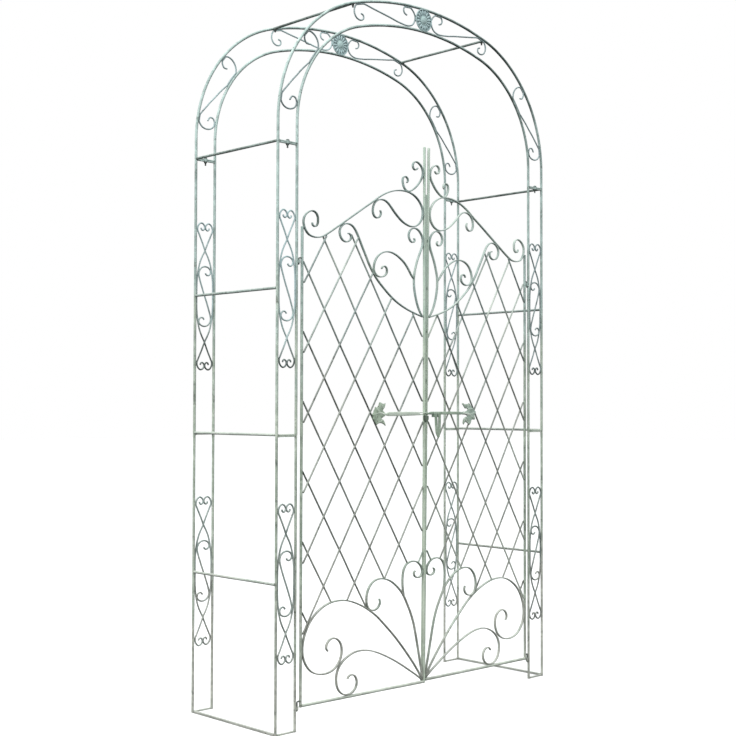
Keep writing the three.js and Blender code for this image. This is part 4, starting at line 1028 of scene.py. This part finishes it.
# ---------------------------------------------------------------- cast leaves
def cast_leaf(s, outline, stalk, tips, y_back, thick, tone=0.2):
    """A cast ivy leaf: a dished plate with a bead round its edge and veins running to its points."""
    ring = smooth(list(outline) + [outline[0]], 1.3)[:-1]
    area = 0.5 * np.sum(ring[:, 0] * np.roll(ring[:, 1], -1) - np.roll(ring[:, 0], -1) * ring[:, 1])
    if area < 0:
        ring = ring[::-1]
    lo, hi = ring.min(0), ring.max(0)
    gx, gz = np.meshgrid(np.arange(lo[0], hi[0], 1.25), np.arange(lo[1], hi[1], 1.25))
    grid = np.stack([gx.ravel(), gz.ravel()], 1)
    grid[:, 0] += 0.31 * np.sin(grid[:, 1] * 5.1)
    # inside test by crossings
    a, b = ring, np.roll(ring, -1, 0)
    inside = np.zeros(len(grid), bool)
    near = np.full(len(grid), 1e9)
    for p, q in zip(a, b):
        if p[1] != q[1]:
            hit = ((p[1] > grid[:, 1]) != (q[1] > grid[:, 1]))
            xs = p[0] + (grid[:, 1] - p[1]) / (q[1] - p[1]) * (q[0] - p[0])
            inside ^= hit & (grid[:, 0] < xs)
        pq = q - p
        t = np.clip(((grid - p) @ pq) / max(pq @ pq, 1e-9), 0, 1)
        near = np.minimum(near, np.linalg.norm(grid - p - t[:, None] * pq, axis=1))
    grid = grid[inside & (near > 0.65)]
    pts = np.vstack([ring, grid])
    n = len(ring)
    got = delaunay_2d_cdt([Vector(p) for p in pts], [(i, (i + 1) % n) for i in range(n)],
                          [list(range(n))], 1, 1e-5)
    P = np.array([tuple(v) for v in got[0]])
    T = [list(f) for f in got[2]]
    edge = np.full(len(P), 1e9)
    for p, q in zip(a, b):
        pq = q - p
        t = np.clip(((P - p) @ pq) / max(pq @ pq, 1e-9), 0, 1)
        edge = np.minimum(edge, np.linalg.norm(P - p - t[:, None] * pq, axis=1))
    root = np.array(stalk, float)
    relief = np.zeros(len(P))

    def ridge(p, q, h0, h1, w0, w1, sag=0.0):
        nonlocal relief
        m = (p + q) / 2 + sag * np.array([-(q - p)[1], (q - p)[0]])
        line = smooth([p, m, q], 1.0)
        d = np.linalg.norm(P[:, None] - line[None], axis=2)
        k = d.argmin(1)
        f = k / (len(line) - 1)
        h = h0 + (h1 - h0) * f
        w = w0 + (w1 - w0) * f
        relief = np.maximum(relief, h * np.exp(-(d.min(1) / w) ** 2))
        return line

    for i, tip in enumerate(tips):
        tip = np.array(tip, float)
        line = ridge(root, tip, 1.9, 0.6, 1.9, 0.8, 0.10 * (-1) ** i)
        L = np.linalg.norm(tip - root)
        for f in (0.32, 0.5, 0.68, 0.84):
            p = line[int(f * (len(line) - 1))]
            d = (tip - root) / L
            for sgn in (-1, 1):
                c, sn = math.cos(sgn * 0.75), math.sin(sgn * 0.75)
                q = p + (1 - f * 0.6) * 0.27 * L * np.array([c * d[0] - sn * d[1], sn * d[0] + c * d[1]])
                ridge(p, q, 0.95, 0.25, 0.95, 0.5)
    body = 0.45 + (thick - 2.6) * (1 - np.exp(-edge / 2.4))
    rim = 0.7 * np.exp(-((edge - 1.7) / 1.0) ** 2)
    swell = 0.9 * np.sin((P[:, 0] - root[0]) * 0.16 + 0.8) * np.sin((P[:, 1] - root[1]) * 0.13) * (1 - np.exp(-edge / 5))
    front = y_back - body - np.minimum(relief * (1 - np.exp(-edge / 1.4)), 2.1) - rim * (edge > 0.01) - np.maximum(swell, -0.8) * 0.7
    back = np.full(len(P), float(y_back)) - 0.5 * np.exp(-edge / 1.2)
    V = np.vstack([np.stack([P[:, 0], front, P[:, 1]], 1), np.stack([P[:, 0], back, P[:, 1]], 1)])
    m = len(P)
    faces = []
    count = {}
    for t in T:
        p0, p1, p2 = P[t[0]], P[t[1]], P[t[2]]
        if (p1 - p0)[0] * (p2 - p0)[1] - (p1 - p0)[1] * (p2 - p0)[0] < 0:
            t = t[::-1]
        # x to the right and z up is seen from the front, where -y points at the eye
        faces.append([t[0], t[1], t[2]])
        faces.append([t[2] + m, t[1] + m, t[0] + m])
        for e in ((t[0], t[1]), (t[1], t[2]), (t[2], t[0])):
            if (e[1], e[0]) in count:
                del count[(e[1], e[0])]
            else:
                count[e] = 1
    for p, q in count:
        faces.append([q, p, p + m, q + m])
    # painted highlight on the raised veins and painted shade along the edge; the back is a little darker
    shade = tone + 0.8 * np.clip(relief, 0, 1.6) - 0.85 * np.exp(-edge / 1.1)
    tone_with_painted_relief_light = np.concatenate([shade, np.full(m, tone - 0.2)])
    s.put(V, faces, tone_with_painted_relief_light)


def block_y(s, centre, section, y0, y1, tone=0.0):
    """A solid drawn from y0 forward to y1. Its section is in x and z round the centre."""
    x, z = centre
    path = np.array([(x, y, z) for y in np.linspace(y0, y1, 5)])
    s.sweep(path, np.array(section), up=(1, 0, 0), uneven=0.006, tone=tone, blunt=0.6)


def profile_bar(s, stations, y_mid, depth, tone=0.1):
    """A cast bar along x with rounded edges. stations are (x, lowest z, highest z)."""
    st = np.array(stations, float)
    xs = np.linspace(st[0, 0], st[-1, 0], max(12, int(abs(st[-1, 0] - st[0, 0]) / 3.0)))
    order = np.argsort(st[:, 0])
    lo = np.interp(xs, st[order, 0], st[order, 1])
    hi = np.interp(xs, st[order, 0], st[order, 2])
    k = np.array([0.25, 0.5, 0.25])
    lo[1:-1] = np.convolve(lo, k, "valid")
    hi[1:-1] = np.convolve(hi, k, "valid")
    M = 20
    a = 2 * math.pi * np.arange(M) / M
    # a superellipse keeps the faces nearly flat
    ca, sa = np.cos(a), np.sin(a)
    ex = np.sign(ca) * np.abs(ca) ** 0.55
    ez = np.sign(sa) * np.abs(sa) ** 0.45
    V = []
    for i, x in enumerate(xs):
        mid, half = (lo[i] + hi[i]) / 2, (hi[i] - lo[i]) / 2
        for j in range(M):
            V.append((x, y_mid + depth / 2 * ex[j], mid + half * ez[j]))
    N = len(xs)
    faces = []
    for i in range(N - 1):
        for j in range(M):
            q = (j + 1) % M
            # for y = cos and z = sin the ring turns counter-clockwise about +x
            faces.append([i * M + j, i * M + q, (i + 1) * M + q, (i + 1) * M + j])
    faces.append(list(range(M))[::-1])
    faces.append([(N - 1) * M + q for q in range(M)])
    V = np.array(V)
    if xs[-1] < xs[0]:
        faces = [f[::-1] for f in faces]
    t = tone + 0.15 * drift(V[:, 0], s.rng, 120)
    s.put(V, faces, t)


LEFT_LEAF = [
    (-201.4, 1.0), (-206, 6.0), (-212.4, 10.6), (-211.0, 15.0), (-206.0, 20.0), (-202.4, 28.0), (-201.0, 36.6),
    (-206.5, 35.2), (-213.5, 35.0), (-221.0, 38.4), (-230.2, 39.4), (-233.4, 32.0), (-237.2, 26.3), (-243.0, 22.2),
    (-249.6, 24.4), (-252.2, 17.4), (-256.4, 12.2), (-258.6, 4.6), (-265.2, -3.6), (-260.0, -9.0), (-262.6, -17.6),
    (-256.6, -24.0), (-250.6, -30.6), (-243.0, -38.8), (-235.4, -34.4), (-226.6, -32.4), (-217.6, -33.6),
    (-209.2, -37.4), (-200.6, -42.4), (-202.6, -33.0), (-206.8, -26.0), (-211.6, -20.4), (-219.2, -17.4),
    (-212.4, -12.4), (-207.0, -9.4), (-201.4, -7.4),
]
LEFT_TIPS = [(-203.0, 34.0), (-228.5, 36.5), (-247.0, 22.0), (-261.5, -4.0), (-243.5, -35.5), (-203.5, -38.5)]
RIGHT_LEAF = [
    (191.2, 5.6), (201.4, 7.2), (212.5, 8.2), (219.6, 12.6), (217.6, 17.6), (206.0, 18.4), (198.0, 26.6),
    (188.8, 36.5), (198.8, 37.4), (205.2, 33.2), (211.6, 35.2), (219.3, 34.0), (229.6, 38.2), (236.2, 34.0),
    (240.4, 28.8), (246.8, 23.3), (254.2, 18.8), (260.8, 11.6), (270.2, 5.2), (265.8, -1.4), (261.4, -8.6),
    (264.6, -16.0), (262.8, -23.0), (254.3, -23.4), (246.5, -23.6), (242.6, -29.8), (237.8, -38.4),
    (231.0, -43.0), (223.6, -39.0), (216.8, -34.6), (209.1, -32.0), (203.4, -36.8), (197.6, -41.8),
    (193.4, -36.0), (194.6, -26.0), (199.2, -18.4), (208.4, -13.6), (217.4, -11.6), (213.6, -7.0),
    (203.9, -4.8), (191.2, -3.6),
]
RIGHT_TIPS = [(191.0, 35.0), (229.0, 35.5), (253.0, 17.0), (267.0, 4.5), (261.5, -21.0), (231.0, -40.5), (197.5, -39.0)]

for side_name, side in (("left", -1), ("right", 1)):
    place = leaf_place(side)
    body = f"{side_name}_leaf"
    inward = -side
    n = lambda label: f"{side_name}_gate_{label}"

    s = Shape(n("hinge_stile") + "_look", place)
    s.sweep(wobbly((0, 0, RAIL_Z - STILE_R), (0, 0, HINGE_STILE_TOP), s.rng, 0.4), round_section(STILE_R * 0.975, 18),
            uneven=0.012, blunt=1.0, tone=lambda P: np.interp(P[:, 2], (300, 700, 1200, 1550),
                                               (-0.08, -0.2, -0.18, 0.12) if side < 0 else (0.1, -0.15, -0.1, 0.3)))
    s.make(body, "stile_paint", STILE, n("hinge_stile"))

    s = Shape(n("meeting_stile") + "_look", place)
    s.leafy = 0.35
    s.sweep(wobbly((inward * LEAF_W, 0, RAIL_Z - STILE_R), (inward * LEAF_W, 0, MEET_STILE_TOP), s.rng, 0.4),
            round_section(STILE_R * 0.975, 18), uneven=0.012, blunt=1.0, tone=0.62 if side < 0 else 0.8)
    if side > 0:
        # closing strip welded along the stile, left out behind the latch
        x = -LEAF_W - 10.0
        for z0, z1 in ((RAIL_Z - STILE_R + 0.5, LATCH_Z - 38.0), (LATCH_Z + 12.0, FILLER_TOP)):
            path = wobbly((x, 0, z0), (x, 0, z1), s.rng, 0.2, 16)
            s.sweep(path, bar_section(2.9, 11.6, 0.8), tone=0.75, uneven=0.008)
        for z in np.arange(140, FILLER_TOP - 20, 168.0):
            if abs(z - LATCH_Z) < 60:
                continue
            s.blob((-LEAF_W - 4.6, -1.9, z + s.rng.uniform(-12, 12)), (1.7, 1.7, 7.0), weld=0.7)
            s.blob((-LEAF_W - 4.6, 1.9, z + s.rng.uniform(-12, 12)), (1.7, 1.7, 7.0), weld=0.7)
    else:
        # flat-sided stud with a collar and a domed head, and the rest below it
        z = LATCH_Z
        block_y(s, (LEAF_W, z), bar_section(13.0, 8.8, 1.0), -3.6, -11.2, tone=-0.25)
        block_y(s, (LEAF_W, z), bar_section(12.0, 2.8, 0.5), -10.6, -17.2, tone=-0.2)
        s.lathe([(0, 16.9), (4.2, 16.9), (4.6, 17.3), (4.3, 18.2), (3.0, 18.9), (1.5, 19.2), (0, 19.3)],
                (LEAF_W, 0, z), (0, -1, 0), 24, tone=0.1)
        rest = np.array([(-3, -11), (3, -11), (7.8, -1), (7.8, 11.2), (-7.8, 11.2), (-7.8, -1)], float)
        # the rest is toned very dark: painted shade under the latch bar
        block_y(s, (LEAF_W, z - 19.0), rest, -3.4, -16.3, tone=-0.62)
    s.make(body, "stile_paint", STILE, n("meeting_stile"))

    s = Shape(n("bottom_rail") + "_look", place)
    a, b = inward * (STILE_R - 0.6), inward * (LEAF_W - STILE_R + 0.6)
    s.sweep(wobbly((min(a, b), 0, RAIL_Z), (max(a, b), 0, RAIL_Z), s.rng, 0.4), round_section(STILE_R * 1.05, 18),
            uneven=0.012, tone=0.45)
    for x in (inward * (STILE_R + 0.2), inward * (LEAF_W - STILE_R - 0.2)):
        s.blob((x, 0, RAIL_Z + 0.3), (1.9, 4.9, 5.0))
    s.make(body, "stile_paint", STILE, n("bottom_rail"))

    s = Shape(n("top_scroll") + "_look", place)
    leaf_strips(s, side, [TOP_BAR, FINIAL], 0.0 if side < 0 else 0.6)
    s.blob((-side * 6.4, 0, HINGE_STILE_TOP - 1.5), (2.6, 4.2, 5.2), weld=0.6)
    s.make(body, "gate_scroll_paint", SCROLL, n("top_scroll"))

    s = Shape(n("heart_scroll") + "_look", place)
    leaf_strips(s, side, [SECOND_BAR, HEART, LENS], 0.35 if side < 0 else 0.5)
    s.make(body, "gate_scroll_paint", SCROLL, n("heart_scroll"))

    s = Shape(n("fan_scroll") + "_look", place)
    leaf_strips(s, side, FANS, 0.05 if side < 0 else 0.35, 0.8 if side < 0 else 0.6)
    leaf_rods(s, side, [SHORT_ROD], -ROD_LAYER, [0.1])
    s.blob((-side * 552.0, 0, 86.0), (4.6, 4.4, 4.2), weld=0.8)
    s.make(body, "gate_scroll_paint", SCROLL, n("fan_scroll"))

    s = Shape(n("lattice") + "_look", place)
    lift = -0.2 if side < 0 else 0.1
    rise_up = (0.1, 0.15, 0.0, 0.35) if side < 0 else (0.4, 0.3, -0.3, -0.05)
    rise_down = (0.5, 0.15, 0.15, 0.9) if side < 0 else (0.05, 0.0, 0.35, 0.85)
    leaf_rods(s, side, RODS_UP, -ROD_LAYER, [lift + q for q in (0.4, 0.1, 0.3, 0.0, 0.45, 0.2)], rise_up)
    leaf_rods(s, side, RODS_DOWN, ROD_LAYER, [lift + q for q in (-0.2, -0.05, -0.25, 0.1, -0.15)], rise_down)
    s.make(body, "lattice_paint", LATTICE, n("lattice"))

    for label, z_arm, z_pin in (("upper", 1545.0, 1522.0), ("lower", 92.0, 60.0)):
        name = f"{side_name}_{label}_hinge_hook"
        s = Shape(name + "_look", place)
        axis = -inward * (HINGE_X - HINGE_STILE_X)
        out = np.sign(axis)
        path = [(out * (STILE_R - 0.5), 0, z_arm), (axis - out * 4.0, 0, z_arm)]
        for q in range(1, 7):
            t = math.pi / 2 * q / 6
            path.append((axis - out * 4.0 + out * 4.0 * math.sin(t), 0, z_arm - 4.0 + 4.0 * math.cos(t)))
        path += [(axis, 0, z_arm - 8), (axis, 0, (z_arm + z_pin) / 2 - 4), (axis, 0, z_pin + 1.5)]
        s.sweep(np.array(path), round_section(2.5, 14), ends=("cut", "round"), uneven=0.01, tone=-0.2)
        s.blob((out * (STILE_R + 0.3), 0, z_arm), (2.0, 3.4, 3.6))
        s.make(body, "hardware_paint", HARDWARE, name)

# ---------------------------------------------------------------- latch
left = leaf_place(-1)
latch_place = lambda p: left(p + np.array([LEAF_W, 0, LATCH_Z]))
s = Shape("latch_bar_look", latch_place)
profile_bar(s, [(-199, -5.4, 0.6), (-194, -7.4, 3.6), (-188, -8.1, 6.0), (-160, -8.1, 6.7), (-120, -7.8, 6.7),
                (-73, -6.9, 6.7), (-45, -5.9, 5.9), (-37.2, -5.5, 5.5)], -14.0, 4.9, tone=0.9)
# the two cheeks of the slot, and the nose
profile_bar(s, [(-40.0, 1.8, 5.6), (-24, 1.8, 4.9), (4, 1.8, 4.3), (9, 1.7, 3.4)], -14.0, 4.8, tone=0.8)
# painted shade: the lower cheek is toned darker than the upper one
profile_bar(s, [(-40.0, -5.6, -1.8), (-24, -4.9, -1.8), (4, -4.3, -1.8), (9, -3.4, -1.7)], -14.0, 4.8, tone=0.1)
profile_bar(s, [(6.5, -3.8, 3.8), (10, -3.1, 3.1), (13.3, -1.5, 1.5), (15.2, -0.3, 0.3)], -14.0, 4.8, tone=0.1)
cast_leaf(s, LEFT_LEAF, (-202.0, -3.2), LEFT_TIPS, -12.4, 5.2, tone=0.22)
for x in (-197.0, -190.0):
    s.blob((x, -14.6, -2.4), (3.4, 2.4, 4.2), weld=0.2, tone=0.1)
s.make("latch", "casting_paint", CASTING, "latch_bar")

right = leaf_place(1, flat=True)
keeper_place = lambda p: right(p + np.array([-HINGE_STILE_X, 0, LATCH_Z]))
s = Shape("latch_keeper_look", keeper_place)
profile_bar(s, [(7.4, -1.6, 4.2), (12, -3.4, 6.2), (18, -3.9, 6.9), (60, -3.9, 6.9), (140, -3.9, 6.9), (165, -4.0, 6.6),
                (176, -5.0, 6.0), (184, -3.9, 5.4), (196, -3.6, 5.0)], -7.8, 4.5, tone=0.1)
cast_leaf(s, RIGHT_LEAF, (194.0, 1.0), RIGHT_TIPS, -6.0, 5.2, tone=0.3)
# a lug reaches back to the stile
block_y(s, (11.0, 0.0), bar_section(7.0, 7.0, 0.9), 5.3, -9.0, tone=-0.4)
# the strap with its slot, and the two feet that carry it in front of the bar
strap = np.array([(21, 3), (22.5, -22), (24.5, -48), (27, -66), (31, -76), (36, -84), (42, -88), (46.5, -84),
                  (50, -73), (52.5, -58), (53.2, -30), (53.5, 3), (42, 3), (41.8, -24), (41.5, -50), (40, -62),
                  (37.5, -50), (35, -24), (33, 3)], float) - (37.0, -40.0)
block_y(s, (37.0, -40.0), strap, -19.5, -22.7, tone=0.25)
block_y(s, (27.4, -10.5), bar_section(11.0, 4.8, 0.7), -5.6, -21.4, tone=-0.3)
block_y(s, (27.4, -7.8), bar_section(11.0, 9.4, 0.7), -5.6, -9.9, tone=-0.3)
block_y(s, (47.7, -7.2), bar_section(10.2, 11.2, 0.7), -5.6, -21.4, tone=-0.5)
s.make("right_leaf", "casting_paint", CASTING, "latch_keeper")

# ---------------------------------------------------------------- floor, light and camera
floor_mesh = bpy.data.meshes.new("floor")
E = 30.0
floor_mesh.from_pydata([(-E, -E, 0), (E, -E, 0), (E, E, 0), (-E, E, 0)], [], [(0, 1, 2, 3)])
floor = bpy.data.objects.new("floor", floor_mesh)
bpy.context.scene.collection.objects.link(floor)
g = Nodes("pale_floor")
shader = g.new("ShaderNodeBsdfPrincipled")
where = g.new("ShaderNodeTexCoord").outputs["Object"]
g.feed(shader.inputs["Base Color"], g.mix(g.noise(where, 0.8, 3.0), (0.95, 0.95, 0.95, 1), (0.98, 0.98, 0.98, 1)))
shader.inputs["Roughness"].default_value = 0.85
shader.inputs["Specular IOR Level"].default_value = 0.2
out = g.new("ShaderNodeOutputMaterial")
g.feed(out.inputs["Surface"], shader.outputs["BSDF"])
floor_mesh.materials.append(g.material)
# the arch stands on a pale floor but isn't lit by it, as over dark grass
floor.visible_diffuse = False
floor.visible_glossy = False

scene = bpy.context.scene
world = bpy.data.worlds.new("studio")
scene.world = world
world.use_nodes = True
tree = world.node_tree
tree.nodes.clear()
direction = tree.nodes.new("ShaderNodeTexCoord")
split = tree.nodes.new("ShaderNodeSeparateXYZ")
tree.links.new(direction.outputs["Generated"], split.inputs[0])
half = tree.nodes.new("ShaderNodeMath")
half.operation = "MULTIPLY_ADD"
half.inputs[1].default_value = 0.5
half.inputs[2].default_value = 0.5
tree.links.new(split.outputs["Z"], half.inputs[0])
rise = tree.nodes.new("ShaderNodeValToRGB")
SKY = ((0.0, 0.10), (0.46, 0.13), (0.54, 0.84), (0.72, 1.08), (1.0, 1.35))
while len(rise.color_ramp.elements) < len(SKY):
    rise.color_ramp.elements.new(0.5)
for stop, (at, level) in zip(rise.color_ramp.elements, SKY):
    stop.position = at
    stop.color = (level * 0.975, level * 0.99, level, 1)
tree.links.new(half.outputs[0], rise.inputs["Fac"])
soft = tree.nodes.new("ShaderNodeBackground")
tree.links.new(rise.outputs["Color"], soft.inputs["Color"])
plain = tree.nodes.new("ShaderNodeBackground")
plain.inputs["Color"].default_value = (1, 1, 1, 1)
plain.inputs["Strength"].default_value = 1.0
ray = tree.nodes.new("ShaderNodeLightPath")
both = tree.nodes.new("ShaderNodeMixShader")
tree.links.new(ray.outputs["Is Camera Ray"], both.inputs[0])
tree.links.new(soft.outputs[0], both.inputs[1])
tree.links.new(plain.outputs[0], both.inputs[2])
end = tree.nodes.new("ShaderNodeOutputWorld")
tree.links.new(both.outputs[0], end.inputs["Surface"])


def area(name, place, target, size, power, colour=(1, 1, 1)):
    data = bpy.data.lights.new(name, "AREA")
    data.shape = "DISK"
    data.size = size
    data.energy = power
    data.color = colour
    ob = bpy.data.objects.new(name, data)
    scene.collection.objects.link(ob)
    ob.location = place
    ob.rotation_mode = "QUATERNION"
    ob.rotation_quaternion = (Vector(target) - Vector(place)).to_track_quat("-Z", "Y")
    return ob


area("key", (-4.8, -1.2, 5.0), (0, 0, 1.2), 2.6, 230, (1.0, 0.99, 0.97))
area("fill", (3.0, -5.0, 3.5), (0, 0, 1.2), 3.0, 25, (0.97, 0.99, 1.0))

scene.view_settings.view_transform = "Standard"
scene.view_settings.look = "None"

AZ, EL, ROLL = 0.766073828, 0.0278333638, 0.00258878544
d = Vector((math.sin(AZ) * math.cos(EL), math.cos(AZ) * math.cos(EL), math.sin(EL)))
r = Vector((math.cos(AZ), -math.sin(AZ), 0))
u = r.cross(d)
r2 = math.cos(ROLL) * r + math.sin(ROLL) * u
u2 = -math.sin(ROLL) * r + math.cos(ROLL) * u
cam_data = bpy.data.cameras.new("camera")
cam_data.sensor_width = 36.0
cam_data.lens = 1291.76 / 736 * 36.0
cam_data.clip_start, cam_data.clip_end = 0.05, 200
camera = bpy.data.objects.new("camera", cam_data)
scene.collection.objects.link(camera)
camera.matrix_world = Matrix((
    (r2.x, u2.x, -d.x, -3.3687),
    (r2.y, u2.y, -d.y, -3.42384),
    (r2.z, u2.z, -d.z, 1.0688),
    (0, 0, 0, 1),
))
scene.camera = camera

bpy.context.view_layer.update()
